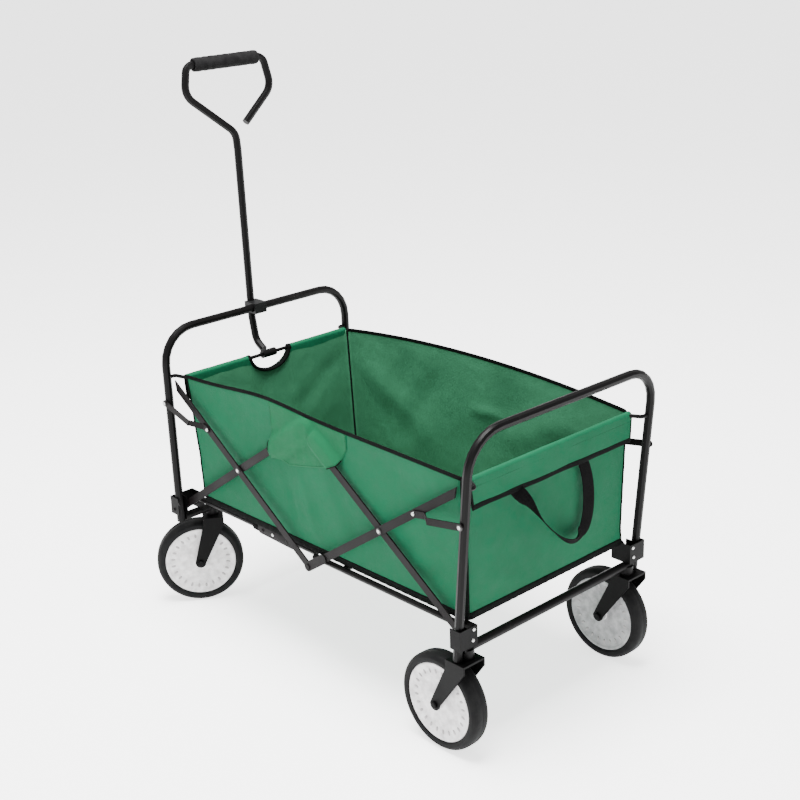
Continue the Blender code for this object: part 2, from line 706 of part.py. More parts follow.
def build_handle(parent, frame_parent):
    """The sleeve on the front rim rod, the bent tube with its open loop, the grip and the clip."""
    rod_x = MID_X + FRONT_ROD_X
    bore = ROD_R + GAP
    sleeve = turned(
        [
            (SLEEVE_R, SLEEVE_HALF_LENGTH),
            (SLEEVE_R, -SLEEVE_HALF_LENGTH),
            (bore, -SLEEVE_HALF_LENGTH),
            (bore, SLEEVE_HALF_LENGTH),
        ],
        (rod_x, 0.0, ROD_Z),
        (0.0, 1.0, 0.0),
        ring=True,
        steps=20,
    )
    add(sleeve, "handle_hinge_sleeve", "frame_black", parent)

    shaft = [(MID_X + x, 0.0, z) for x, z in (HANDLE_FOOT, *HANDLE_SHAFT)]
    top_x, top_z = HANDLE_SHAFT[-1]
    loop = [(MID_X + top_x + LOOP_LEAN * (z - top_z), y, z) for y, z in LOOP]
    path = rounded(shaft, SHAFT_BEND_R)[:-1] + rounded([shaft[-1], *loop], LOOP_CORNERS_R)
    add(tube(path, HANDLE_R), "handle_tube", "frame_black", parent)

    grip_x, grip_z = loop[2][0], LOOP[2][1]
    bore = HANDLE_R + GAP
    grip = turned(
        [
            (GRIP_R - 0.003, GRIP_HALF_LENGTH),
            (GRIP_R, GRIP_HALF_LENGTH - 0.004),
            (GRIP_R, -GRIP_HALF_LENGTH + 0.004),
            (GRIP_R - 0.003, -GRIP_HALF_LENGTH),
            (bore, -GRIP_HALF_LENGTH),
            (bore, GRIP_HALF_LENGTH),
        ],
        (grip_x, GRIP_MID_Y, grip_z),
        (0.0, 1.0, 0.0),
        ring=True,
        steps=20,
    )
    add(grip, "handle_grip", "foam", parent)

    bar_x = post_x(1, HOOP_TOP_Z)
    (low_x, low_z), (high_x, high_z) = HANDLE_SHAFT[-2:]
    tube_x = MID_X + low_x + (high_x - low_x) * (HOOP_TOP_Z - low_z) / (high_z - low_z)
    clip = box((bar_x - 0.0125, -0.015, HOOP_TOP_Z - 0.011), (tube_x + 0.002, 0.015, HOOP_TOP_Z + 0.011))
    bar_hole = rod((bar_x, -0.03, HOOP_TOP_Z), (bar_x, 0.03, HOOP_TOP_Z), TUBE_R + GAP, 20)
    slot = box((tube_x, -HANDLE_R - GAP, 0.55), (tube_x + 0.03, HANDLE_R + GAP, 0.68))
    slot_bottom = rod((tube_x, 0.0, 0.55), (tube_x, 0.0, 0.68), HANDLE_R + 2 * GAP, 20)
    combine(clip, [bar_hole, slot_bottom, slot], "DIFFERENCE")
    add(clip, "handle_clip", "black_plastic", frame_parent)


def build_wheel(name, stem, trail, heading_deg, fork_parent, wheel_parent):
    """A fork with its stem, an axle bolt, a tyre and a disc rim."""
    heading = math.radians(heading_deg)
    ahead = Vector((math.cos(heading), math.sin(heading), 0.0))
    across = Vector((-math.sin(heading), math.cos(heading), 0.0))
    stem_place = Vector((MID_X + stem[0], stem[1], 0.0))
    hub = stem_place + ahead * trail
    hub.z = WHEEL_R

    half_tread = TYRE_WIDTH / 2
    inner_r = RIM_R + GAP
    tyre_profile = [
        (inner_r, half_tread - 0.004),
        (inner_r + 0.004, half_tread),
        (WHEEL_R - 0.0065, half_tread),
        (WHEEL_R - 0.0020, half_tread - 0.0035),
        (WHEEL_R, half_tread - 0.0085),
        (WHEEL_R, 0.0085 - half_tread),
        (WHEEL_R - 0.0020, 0.0035 - half_tread),
        (WHEEL_R - 0.0065, -half_tread),
        (inner_r + 0.004, -half_tread),
        (inner_r, 0.004 - half_tread),
    ]
    tyre = turned(tyre_profile, hub, across, ring=True, steps=WHEEL_STEPS)
    add(tyre, f"{name}_tyre", "tyre_rubber", wheel_parent)

    half_rim = RIM_WIDTH / 2
    bore = AXLE_R + GAP
    rim_profile = [
        (bore, 0.0195),
        (0.0130, 0.0195),
        (0.0150, 0.0125),
        (RIM_R - 0.0090, 0.0125),
        (RIM_R - 0.0060, half_rim),
        (RIM_R, half_rim),
        (RIM_R, -half_rim),
        (RIM_R - 0.0060, -half_rim),
        (RIM_R - 0.0090, -0.0125),
        (0.0150, -0.0125),
        (0.0130, -0.0195),
        (bore, -0.0195),
    ]
    rim = turned(rim_profile, hub, across, ring=True, steps=WHEEL_STEPS)
    add(rim, f"{name}_rim", "disc_plastic", wheel_parent)

    arm_outer = FORK_HALF_GAP + FORK_ARM_THICK
    head = arm_outer + 0.0045
    axle = turned(
        [
            (0.0, head),
            (0.0055, head),
            (0.0070, head - 0.0015),
            (0.0070, arm_outer + GAP),
            (AXLE_R, arm_outer + GAP),
            (AXLE_R, -arm_outer - GAP),
            (0.0070, -arm_outer - GAP),
            (0.0070, 0.0015 - head),
            (0.0055, -head),
            (0.0, -head),
        ],
        hub,
        across,
    )
    add(axle, f"{name}_axle", "zinc", fork_parent)
    build_fork(name, stem_place, ahead, across, hub, fork_parent)


def build_fork(name, stem_place, ahead, across, hub, parent):
    """Two tapered arms under a crown plate, with the stem on top."""
    heading = math.atan2(ahead.y, ahead.x)
    trail = (hub - stem_place).dot(ahead)
    crown_top = FORK_CROWN_Z + FORK_CROWN_THICK
    shoulder_z = FORK_CROWN_Z - 0.012
    arm_outline = [(-FORK_TOP_HALF_WIDTH, shoulder_z)]
    arm_outline += half_turn((trail, WHEEL_R), FORK_TIP_R, 180)
    arm_outline += [(FORK_TOP_HALF_WIDTH, shoulder_z), (FORK_TOP_HALF_WIDTH, crown_top)]
    arm_outline.append((-FORK_TOP_HALF_WIDTH, crown_top))
    pieces = []
    for side in (1, -1):
        y_middle = side * (FORK_HALF_GAP + FORK_ARM_THICK / 2)
        arm = as_mesh(plate(arm_outline, [circle((trail, WHEEL_R), AXLE_R + GAP)], y_middle, FORK_ARM_THICK))
        pieces.append(arm)
    reach = FORK_HALF_GAP + 0.6 * FORK_ARM_THICK
    crown_half = FORK_TOP_HALF_WIDTH - FORK_INSET
    crown = box((-crown_half, -reach, FORK_CROWN_Z), (crown_half, reach, crown_top - FORK_INSET))
    stem = rod((0.0, 0.0, crown_top - 0.002), (0.0, 0.0, crown_top + STEM_CUP_HEIGHT - GAP), STEM_R, 16)
    bpy.context.view_layer.update()
    to_place = Matrix.Translation(stem_place) @ Matrix.Rotation(heading, 4, "Z")
    for piece in [*pieces, crown, stem]:
        piece.matrix_world = to_place @ piece.matrix_world
    combine(crown, [*pieces, stem], "UNION")
    add(crown, f"{name}_fork", "frame_black", parent)


def build_wagon():
    """Every body hangs from an empty on its own joint's axis, inside one empty for the wagon."""
    rear_frame = empty_at("rear_frame_body", (0.0, 0.0, 0.0))
    front_pivot, rear_pivot = pivot(1), pivot(-1)
    places = {
        "front_frame": (front_pivot[0], 0.0, front_pivot[1]),
        "rear_lower_bars": (rear_pivot[0], 0.0, rear_pivot[1]),
        "rear_upper_bars": (crossing(-1)[0], 0.0, crossing(-1)[1]),
        "front_upper_bars": (MID_X, 0.0, PIVOT_Z),
        "front_lower_bars": (crossing(1)[0], 0.0, crossing(1)[1]),
        "front_links": (link_bolt(1)[0], 0.0, link_bolt(1)[1]),
        "rear_links": (link_bolt(-1)[0], 0.0, link_bolt(-1)[1]),
        "front_floor": (MID_X + RAIL_PIVOT_X, 0.0, RAIL_Z),
        "rear_floor": (MID_X - RAIL_PIVOT_X, 0.0, RAIL_Z),
        "handle": (MID_X + FRONT_ROD_X, 0.0, ROD_Z),
    }
    bodies = {name: empty_at(f"{name}_body", place) for name, place in places.items()}

    build_end_frame(1, "front", bodies["front_frame"])
    build_end_frame(-1, "rear", rear_frame)
    build_scissor(1, "front", bodies["front_upper_bars"], bodies["front_lower_bars"])
    build_scissor(-1, "rear", bodies["rear_upper_bars"], bodies["rear_lower_bars"])
    build_bottom_hinges(bodies["rear_upper_bars"])
    build_links(1, "front", bodies["front_links"])
    build_links(-1, "rear", bodies["rear_links"])
    build_floor(1, "front", bodies["front_floor"])
    build_floor(-1, "rear", bodies["rear_floor"])
    build_rim_rod(1, "front", bodies["front_frame"])
    build_rim_rod(-1, "rear", rear_frame)
    build_basket(rear_frame)
    build_strap(rear_frame)
    build_handle(bodies["handle"], bodies["front_frame"])

    for side, side_name in SIDES:
        rear_hub = (MID_X + REAR_STEM[0] + REAR_TRAIL, side * REAR_STEM[1], WHEEL_R)
        rear_wheel = empty_at(f"rear_{side_name}_wheel_body", rear_hub)
        stem = (REAR_STEM[0], side * REAR_STEM[1])
        build_wheel(f"rear_{side_name}", stem, REAR_TRAIL, REAR_WHEEL_DEG, rear_frame, rear_wheel)

        stem = (FRONT_STEM[0], side * FRONT_STEM[1])
        heading = side * math.radians(FRONT_WHEEL_DEG)
        hub_x = MID_X + stem[0] + FRONT_TRAIL * math.cos(heading)
        hub_y = stem[1] + FRONT_TRAIL * math.sin(heading)
        caster = empty_at(f"front_{side_name}_caster_body", (MID_X + stem[0], stem[1], FORK_CROWN_Z))
        front_wheel = empty_at(f"front_{side_name}_wheel_body", (hub_x, hub_y, WHEEL_R))
        build_wheel(f"front_{side_name}", stem, FRONT_TRAIL, side * FRONT_WHEEL_DEG, caster, front_wheel)


clear_scene()
PARTS = new_collection("folding_camp_wagon")
CUTTERS = new_collection("cutters")
build_wagon()
CUTTERS.hide_render = True
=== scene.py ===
"""The looks of the folding camp wagon: fabric basket, bindings, webbing, wheels and every finish.

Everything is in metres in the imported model's frame: +X to the handle, +Y to the wagon's left, +Z up.
"""

import math

import bpy
from mathutils import Matrix, Vector, noise


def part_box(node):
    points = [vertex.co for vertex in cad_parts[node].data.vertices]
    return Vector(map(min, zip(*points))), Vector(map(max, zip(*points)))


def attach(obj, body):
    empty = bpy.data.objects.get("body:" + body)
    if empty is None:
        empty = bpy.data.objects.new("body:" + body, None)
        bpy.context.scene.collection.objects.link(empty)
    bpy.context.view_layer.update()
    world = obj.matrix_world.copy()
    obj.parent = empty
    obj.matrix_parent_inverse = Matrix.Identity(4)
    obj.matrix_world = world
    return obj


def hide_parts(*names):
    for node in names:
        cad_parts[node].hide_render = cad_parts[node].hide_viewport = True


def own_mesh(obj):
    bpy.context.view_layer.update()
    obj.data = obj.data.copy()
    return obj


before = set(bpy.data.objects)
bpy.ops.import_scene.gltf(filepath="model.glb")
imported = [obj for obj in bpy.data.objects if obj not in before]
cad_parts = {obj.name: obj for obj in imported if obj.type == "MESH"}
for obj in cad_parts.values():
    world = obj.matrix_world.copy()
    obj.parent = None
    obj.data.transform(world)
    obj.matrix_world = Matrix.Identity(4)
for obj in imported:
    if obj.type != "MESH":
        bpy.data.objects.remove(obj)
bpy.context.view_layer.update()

# ---- Places taken from the frame ----
HINGE_END_R = 0.0095  # the hinge plate's round end, about the pin
MID_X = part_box("left_bottom_hinge")[1][0] - HINGE_END_R
ROD_R = 0.004
FRONT_ROD_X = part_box("handle_hinge_sleeve")[0][0] + 0.0085
REAR_ROD_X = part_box("rear_rim_rod")[1][0] - ROD_R
ROD_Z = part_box("rear_rim_rod")[1][2] - ROD_R
FLOOR_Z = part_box("basket")[0][2]
PIVOT_Z = 0.232  # lower ends of the bars that go into the side pockets
TOP_HINGE_Z = 0.511
BAR_HALF_SPAN = 0.41

# ---- Basket ----
WALL_FRONT = (FRONT_ROD_X - 0.004, 0.3366)  # at the rim and at the floor
WALL_REAR = (REAR_ROD_X + 0.003, -0.4222)
WALL_HALF = (0.2185, 0.212)
CORNER_R = 0.013
CLOTH = 0.0011
HEM_CLOTH = CLOTH * 0.8
POCKET_CLOTH = 0.0008
WALL_ROWS = 46
SIDE_STEPS = 110
HALF_END_STEPS = 22
NOTCH_STEPS = 18
CORNER_STEPS = 5
NOTCH_HALF = 0.052
NOTCH_DEPTH = 0.035
HEM_R = 0.0056
FLAP_DROP = 0.047
FLAP_HALF = 0.213
FLAP_STEPS = 90

# Binding tape: half its width along the cloth, and half its thickness
RIM_TAPE = (0.0036, 0.0017)
CORNER_TAPE = (0.0054, 0.0018)
FLOOR_TAPE = (0.0068, 0.0022)
FLAP_TAPE = (0.0054, 0.0016)

# ---- Wheels ----
TYRE_R = 0.092
TYRE_HALF = 0.02
DISC_R = 0.0752
DISC_HALF = 0.017
ROUND_STEPS = 96


# ---- Small tools ----
def lerp(a, b, share):
    return a + (b - a) * share


def smooth_step(low, high, value):
    share = min(1.0, max(0.0, (value - low) / (high - low)))
    return share * share * (3 - 2 * share)


def ripple(x, y, z, size, seed):
    """Smooth noise between about -1 and 1, with bumps of about this size."""
    return noise.noise(Vector((x / size + seed, y / size - seed, z / size + 2 * seed)))


def add_mesh(name, vertices, faces, material, body, slot, smooth=True):
    mesh = bpy.data.meshes.new(name)
    mesh.from_pydata([tuple(v) for v in vertices], [], faces)
    mesh.validate()
    mesh.update()
    mesh.polygons.foreach_set("use_smooth", [smooth] * len(mesh.polygons))
    mesh.materials.append(material)
    obj = bpy.data.objects.new(name, mesh)
    bpy.context.collection.objects.link(obj)
    bpy.context.view_layer.update()
    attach(obj, body)
    return obj


def grid_faces(rows, columns, wrap=False, flip=False):
    """Quads between rows of vertices. wrap joins the last column to the first."""
    faces = []
    for r in range(rows - 1):
        for c in range(columns if wrap else columns - 1):
            after = (c + 1) % columns
            quad = (r * columns + c, r * columns + after, (r + 1) * columns + after, (r + 1) * columns + c)
            faces.append(quad[::-1] if flip else quad)
    return faces


def edge_walls(faces, count):
    """Quads from every open edge of a surface to its copy, whose vertices come this many places later."""
    edges = {}
    for face in faces:
        for a, b in zip(face, face[1:] + face[:1]):
            edges[(a, b)] = True
    return [(b, a, a + count, b + count) for a, b in edges if (b, a) not in edges]


def thickened(vertices, faces, under):
    """A closed piece between a surface and a second set of vertices under it."""
    count = len(vertices)
    backs = [tuple(i + count for i in face[::-1]) for face in faces]
    return vertices + under, faces + backs + edge_walls(faces, count)


def shell(vertices, faces, thickness):
    """A closed sheet: the surface, its copy moved inwards along its normals, and a wall round its edges."""
    vertices = [Vector(v) for v in vertices]
    normals = [Vector() for _ in vertices]
    for a, b, c, d in faces:
        first, second, third = (vertices[i] - vertices[a] for i in (b, c, d))
        direction = first.cross(second) + second.cross(third)
        for i in (a, b, c, d):
            normals[i] += direction
    return thickened(vertices, faces, [v - n.normalized() * thickness for v, n in zip(vertices, normals)])


def cloth_area(vertices, faces):
    """Area of a surface of four-cornered faces."""
    crosses = ((vertices[c] - vertices[a]).cross(vertices[d] - vertices[b]) for a, b, c, d in faces)
    return sum(cross.length for cross in crosses) / 2


def sweep(path, normals, profile, closed=False):
    """A tube with this cross-section along a path. Profile points are (along the normal, across it)."""
    path = [Vector(p) for p in path]
    count = len(path)
    vertices = []
    for i, place in enumerate(path):
        before = path[i - 1] if closed or i else path[i]
        after = path[(i + 1) % count] if closed or i < count - 1 else path[i]
        along = (after - before).normalized()
        across = along.cross(Vector(normals[i])).normalized()
        up = across.cross(along).normalized()
        vertices += [place + up * a + across * b for a, b in profile]
    size = len(profile)
    faces = grid_faces(count, size, wrap=True)
    if closed:
        last = (count - 1) * size
        faces += [(last + c, last + (c + 1) % size, (c + 1) % size, c) for c in range(size)]
    else:
        faces += [tuple(range(size))[::-1], tuple((count - 1) * size + c for c in range(size))]
    return vertices, faces


def oval(half_across, half_thick, steps=12, power=0.55):
    """A flattened cross-section with soft corners: thick along the normal, wide across it."""
    points = []
    for i in range(steps):
        turn = math.tau * i / steps
        out, along = (math.copysign(abs(part) ** power, part) for part in (math.sin(turn), math.cos(turn)))
        points.append((half_thick * out, half_across * along))
    return points


def merge(parts):
    """Several (vertices, faces) pairs as one."""
    vertices, faces = [], []
    for more, its_faces in parts:
        start = len(vertices)
        vertices += [Vector(v) for v in more]
        faces += [tuple(i + start for i in face) for face in its_faces]
    return vertices, faces


def lathe(profile, steps=ROUND_STEPS):
    """A closed ring or solid turned about Y, from (radius, y) points. A zero radius closes on the axis."""
    vertices, rings = [], []
    for radius, y in profile:
        if radius < 1e-6:
            rings.append([len(vertices)] * steps)
            vertices.append((0.0, y, 0.0))
            continue
        rings.append(list(range(len(vertices), len(vertices) + steps)))
        for i in range(steps):
            turn = math.tau * i / steps
            vertices.append((radius * math.cos(turn), y, radius * math.sin(turn)))
    faces = []
    pairs = list(zip(rings, rings[1:]))
    if profile[0][0] > 1e-6:
        pairs.append((rings[-1], rings[0]))
    for low, high in pairs:
        for i in range(steps):
            j = (i + 1) % steps
            corners = []
            for index in (low[i], low[j], high[j], high[i]):
                if index not in corners:
                    corners.append(index)
            if len(corners) > 2:
                faces.append(tuple(corners))
    return vertices, faces


def placed(part, matrix):
    vertices, faces = part
    return [matrix @ Vector(v) for v in vertices], faces


def axis_matrix(place, axis):
    """Takes the local Y axis to this direction, at this place."""
    turn = Vector((0, 1, 0)).rotation_difference(Vector(axis))
    return Matrix.Translation(place) @ turn.to_matrix().to_4x4()


def stitches(path, normals, lift, length=0.0026, pitch=0.004, radius=0.00035):
    """A line of short thread stitches along a path, each a small six-sided bead lifted off the cloth."""
    parts = []
    travelled, following = 0.0, pitch / 2
    for (a, b), normal in zip(zip(path, path[1:]), normals):
        a, b, normal = Vector(a), Vector(b), Vector(normal)
        step = (b - a).length
        while step > 0 and following <= travelled + step:
            along = (b - a) / step
            centre = a + along * (following - travelled) + normal * lift
            side = along.cross(normal).normalized()
            half = along * length / 2
            ring = [side * radius, normal * radius, -side * radius, -normal * radius * 0.6]
            points = [centre - half]
            points += [centre - half * 0.6 + r for r in ring]
            points += [centre + half * 0.6 + r for r in ring]
            points.append(centre + half)
            faces = []
            for i in range(4):
                j = (i + 1) % 4
                faces += [(0, 1 + i, 1 + j), (1 + i, 5 + i, 5 + j, 1 + j), (9, 5 + j, 5 + i)]
            parts.append((points, faces))
            following += pitch
        travelled += step
    return merge(parts)


# ---- Materials ----
def feed(tree, socket, value):
    """Links another node's output to a socket, or gives it a plain value."""
    if isinstance(value, bpy.types.NodeSocket):
        tree.links.new(value, socket)
    else:
        socket.default_value = (*value, 1) if socket.type == "RGBA" else value


def add_node(tree, kind, output, inputs, **settings):
    """Adds a node and gives back its output of this name."""
    node = tree.nodes.new(kind)
    for name, value in settings.items():
        setattr(node, name, value)
    for key, value in inputs.items():
        feed(tree, node.inputs[key], value)
    return node.outputs[output]


class Look:
    """A new material, with short ways to add nodes. Values are numbers, colours or other nodes' outputs."""

    def __init__(self, name):
        self.material = bpy.data.materials.new(name)
        self.material.use_nodes = True
        self.tree = self.material.node_tree
        self.shader = self.tree.nodes["Principled BSDF"]
        self.place = self.add("ShaderNodeTexCoord", "Object", {})

    def add(self, kind, output, inputs, **settings):
        return add_node(self.tree, kind, output, inputs, **settings)

    def mix(self, factor, first, second, blend="MIX"):
        inputs = {"Factor": factor, "A": first, "B": second}
        return self.add("ShaderNodeMix", "Result", inputs, data_type="RGBA", blend_type=blend)

    def noise(self, scale, detail=3.0, roughness=0.5):
        inputs = {"Vector": self.place, "Scale": scale, "Detail": detail, "Roughness": roughness}
        return self.add("ShaderNodeTexNoise", "Fac", inputs)

    def ramp(self, value, low, high, start=0.0, end=1.0):
        inputs = {"Value": value, "From Min": start, "From Max": end, "To Min": low, "To Max": high}
        return self.add("ShaderNodeMapRange", "Result", inputs)

    def math(self, operation, first, second):
        return self.add("ShaderNodeMath", "Value", {0: first, 1: second}, operation=operation)

    def wave(self, direction, period):
        """A band pattern that repeats over this many metres."""
        inputs = {"Vector": self.place, "Scale": math.tau / (20 * period)}
        return self.add("ShaderNodeTexWave", "Fac", inputs, bands_direction=direction)

    def lies_along(self, axis):
        """0 where the surface faces along this axis and 1 where the axis lies in the surface."""
        normal = self.add("ShaderNodeTexCoord", "Normal", {})
        part = self.add("ShaderNodeSeparateXYZ", axis, {"Vector": normal})
        return self.ramp(self.math("ABSOLUTE", part, 0.0), 1.0, 0.0, 0.55, 0.8)

    def threads(self, period):
        """A weave's height: bands along each axis that lies in the cloth."""
        bands = [self.math("MULTIPLY", self.wave(axis, period), self.lies_along(axis)) for axis in "XYZ"]
        return self.math("ADD", self.math("ADD", bands[0], bands[1]), bands[2])

    def bump(self, height, strength, distance, under=None):
        inputs = {"Height": height, "Strength": strength, "Distance": distance}
        if under is not None:
            inputs["Normal"] = under
        return self.add("ShaderNodeBump", "Normal", inputs)

    def finish(self, colour, rough, normal, specular=0.5, metal=0.0, sheen=0.0):
        inputs = {"Base Color": colour, "Roughness": rough, "Metallic": metal}
        inputs |= {"Specular IOR Level": specular, "Sheen Weight": sheen}
        if normal is not None:
            inputs["Normal"] = normal
        for name, value in inputs.items():
            feed(self.tree, self.shader.inputs[name], value)
        return self.material


def woven(name, dark, light, period=0.0009):
    """Plain-weave coated cloth: threads in both directions, with painted shade in the grooves between them and
    painted light on their tops, uneven dye, faint creases.
    """
    look = Look(name)
    threads = look.threads(period)
    patchy = look.noise(42.0, 3.0, 0.6)
    broad = look.noise(7.0, 4.0, 0.55)
    mottle = look.math("ADD", look.math("MULTIPLY", patchy, 0.35), look.ramp(broad, 0.0, 0.65))
    dyed = look.mix(look.ramp(mottle, 0.0, 1.0, 0.3, 0.7), dark, light)
    # Painted shade and light: thread height darkens the grooves and lightens the tops, multiplied into the dye
    shade = look.ramp(threads, 0.84, 1.06, 0.2, 1.8)
    painted_thread_shade = look.add("ShaderNodeCombineColor", "Color", {0: shade, 1: shade, 2: shade})
    creases = look.bump(look.noise(26.0, 5.0, 0.62), 0.35, 0.004)
    normal = look.bump(threads, 0.45, period * 0.22, creases)
    rough = look.ramp(patchy, 0.62, 0.8, 0.3, 0.7)
    return look.finish(look.mix(1.0, dyed, painted_thread_shade, "MULTIPLY"), rough, normal, specular=0.08)


def webbing(name, dark, light, rib):
    """Narrow woven tape: close ribs across it and a dull, slightly fluffy face."""
    look = Look(name)
    ribs = look.math("ADD", look.wave("Z", rib), look.wave("DIAGONAL", rib * 1.3))
    fluff = look.noise(380.0, 3.0, 0.6)
    dusty = look.noise(18.0, 4.0, 0.6)
    colour = look.mix(look.ramp(dusty, 0.0, 1.0, 0.35, 0.7), dark, light)
    normal = look.bump(fluff, 0.3, 0.0003, look.bump(ribs, 0.5, rib * 0.3))
    return look.finish(colour, look.ramp(fluff, 0.7, 0.92), normal, specular=0.05)


def coated(name, base, worn, rough, shine):
    """Powder-coated steel: orange-peel skin, slow gloss changes, small scuffs and softened edges."""
    look = Look(name)
    slow = look.noise(14.0, 4.0, 0.6)
    scuffs = look.noise(130.0, 6.0, 0.75)
    scuff = look.ramp(look.math("MULTIPLY", scuffs, slow), 0.0, 1.0, 0.33, 0.46)
    even_gloss = look.ramp(slow, rough - 0.07, rough + 0.09, 0.3, 0.7)
    gloss = look.math("ADD", even_gloss, look.ramp(scuff, 0.0, 0.15))
    edge = look.add("ShaderNodeBevel", "Normal", {"Radius": 0.0007}, samples=4)
    normal = look.bump(look.noise(900.0, 2.0, 0.5), 0.12, 0.0002, edge)
    return look.finish(look.mix(scuff, base, worn), gloss, normal, specular=shine)


def plated(name, bright_share=None):
    """Zinc-plated steel with fine marks. bright_share paints a head black outside this share of its width."""
    look = Look(name)
    fine = look.noise(620.0, 3.0, 0.6)
    slow = look.noise(90.0, 3.0, 0.5)
    colour = look.mix(look.ramp(slow, 0.0, 1.0, 0.3, 0.7), (0.36, 0.36, 0.35), (0.56, 0.56, 0.55))
    metal = 1.0
    if bright_share is not None:
        box_place = look.add("ShaderNodeTexCoord", "Generated", {})
        inputs = {"Vector": box_place, "Location": (-0.5, 0.0, -0.5), "Scale": (1.0, 0.0, 1.0)}
        across = look.add("ShaderNodeMapping", "Vector", inputs)
        radius = look.add("ShaderNodeVectorMath", "Value", {0: across}, operation="LENGTH")
        painted = look.ramp(radius, 0.0, 1.0, bright_share - 0.02, bright_share + 0.02)
        colour = look.mix(painted, colour, (0.006, 0.005, 0.005))
        metal = look.math("SUBTRACT", 1.0, painted)
    return look.finish(colour, look.ramp(fine, 0.3, 0.5), look.bump(fine, 0.15, 0.0002), metal=metal)


def moulded(name, first, second, rough, grain, depth, gloss, spots=60.0, sheen=0.0):
    """Moulded plastic, rubber or foam: fine grain, slightly uneven colour and gloss."""
    look = Look(name)
    fine = look.noise(grain, 4.0, 0.6)
    slow = look.noise(spots, 3.0, 0.55)
    colour = look.mix(look.ramp(slow, 0.0, 1.0, 0.35, 0.68), first, second)
    rough = look.ramp(fine, rough - 0.06, rough + 0.08, 0.3, 0.7)
    return look.finish(colour, rough, look.bump(fine, 0.3, depth), specular=gloss, sheen=sheen)


GREEN = woven("green_cloth", (0.0034, 0.066, 0.029), (0.005, 0.087, 0.0395))
# A paler, greyer copy of the same green cloth for the inside faces and floor mats: painted light inside the
# basket
INNER_GREEN_PAINTED_LIGHT = woven("green_cloth_inside_painted_light", (0.022, 0.1, 0.05), (0.03, 0.132, 0.068))
PATCH_GREEN = woven("pocket_cloth", (0.0042, 0.068, 0.0272), (0.0062, 0.088, 0.0366))
BLACK_TAPE = webbing("black_tape", (0.0008, 0.0011, 0.001), (0.0022, 0.0028, 0.0025), 0.0011)
STRAP_BLACK = webbing("strap_webbing", (0.0007, 0.0007, 0.0008), (0.0022, 0.0021, 0.0022), 0.0016)
THREAD = webbing("thread", (0.0025, 0.01, 0.0055), (0.005, 0.018, 0.0105), 0.0006)
TUBE_BLACK = coated("black_tube_coat", (0.0018, 0.0016, 0.0017), (0.01, 0.0088, 0.0088), 0.38, 0.08)
# The flat bars' copy of the black coat is lighter and browner than the tubes': painted reflection off their
# flat faces
BAR_BLACK_PAINTED_REFLECTION = coated("black_bar_coat_painted_reflection", (0.0036, 0.0028, 0.003), (0.014, 0.0115, 0.0115), 0.46, 0.06)
FORK_BLACK = coated("black_fork_coat", (0.0014, 0.0013, 0.0014), (0.006, 0.0056, 0.0056), 0.46, 0.05)
STEEL = plated("zinc_steel")
RIVET_STEEL = plated("zinc_rivet", 0.27)
RUBBER = moulded("tyre_rubber", (0.003, 0.003, 0.0033), (0.0062, 0.0062, 0.0062), 0.66, 700.0, 0.0003, 0.08)
DISC_WHITE = moulded(
    "disc_plastic", (0.42, 0.405, 0.408), (0.66, 0.645, 0.645), 0.42, 420.0, 0.00015, 0.3, spots=70.0
)
# A darker grey copy of the same disc plastic: painted shade on the faces turned in towards the wagon
DISC_PAINTED_SHADE = moulded(
    "disc_plastic_painted_shade", (0.2, 0.2, 0.205), (0.33, 0.33, 0.335), 0.5, 420.0, 0.00015, 0.2, spots=70.0
)
PIP_GREY = moulded("disc_pips", (0.24, 0.23, 0.23), (0.34, 0.325, 0.325), 0.55, 500.0, 0.0002, 0.3)
FOAM = moulded(
    "foam_grip", (0.0042, 0.004, 0.0042), (0.009, 0.0088, 0.009), 0.86, 1300.0, 0.0005, 0.06, sheen=0.01
)
CLIP_BLACK = moulded(
    "clip_plastic", (0.0035, 0.0035, 0.0038), (0.007, 0.007, 0.0072), 0.48, 800.0, 0.0002, 0.14
)

# ---- CAD pieces that stay in view ----
BAR_WORDS = ("upper_bar", "lower_bar", "_link", "bottom_hinge")
STEEL_WORDS = ("link_bolt", "cross_rivet")
FORK_WORDS = ("fork", "bracket", "axle")


def finish_of(name):
    if any(word in name for word in STEEL_WORDS):
        return RIVET_STEEL
    if name == "handle_clip":
        return CLIP_BLACK
    if any(word in name for word in FORK_WORDS):
        return FORK_BLACK
    if any(word in name for word in BAR_WORDS):
        return BAR_BLACK_PAINTED_REFLECTION
    return TUBE_BLACK


SMOOTH_BELOW = math.radians(34)  # flatter edges than this are drawn as one curved surface


def smoothing_tree():
    """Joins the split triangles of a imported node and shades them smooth, with every real edge kept sharp."""
    tree = bpy.data.node_groups.new("cad_smoothing", "GeometryNodeTree")
    for in_out in ("INPUT", "OUTPUT"):
        tree.interface.new_socket("Geometry", in_out=in_out, socket_type="NodeSocketGeometry")

    def step(kind, shape, inputs, **settings):
        return add_node(tree, kind, "Geometry", {"Geometry": shape} | inputs, **settings)

    shape = add_node(tree, "NodeGroupInput", "Geometry", {})
    shape = step("GeometryNodeRemoveAttribute", shape, {"Name": "custom_normal"})
    shape = step("GeometryNodeMergeByDistance", shape, {"Distance": 0.00001})
    shape = step("GeometryNodeSetShadeSmooth", shape, {})
    angle = add_node(tree, "GeometryNodeInputMeshEdgeAngle", "Unsigned Angle", {})
    limit = {"A": angle, "B": SMOOTH_BELOW}
    steep = add_node(tree, "FunctionNodeCompare", "Result", limit, operation="GREATER_THAN")
    kept_sharp = {"Selection": steep, "Shade Smooth": False}
    shape = step("GeometryNodeSetShadeSmooth", shape, kept_sharp, domain="EDGE")
    tree.links.new(shape, tree.nodes.new("NodeGroupOutput").inputs["Geometry"])
    return tree


cad_smoothing = smoothing_tree()
for name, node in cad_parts.items():
    node.data.materials.clear()
    node.data.materials.append(finish_of(name))
    node.modifiers.new("smooth", "NODES").node_group = cad_smoothing


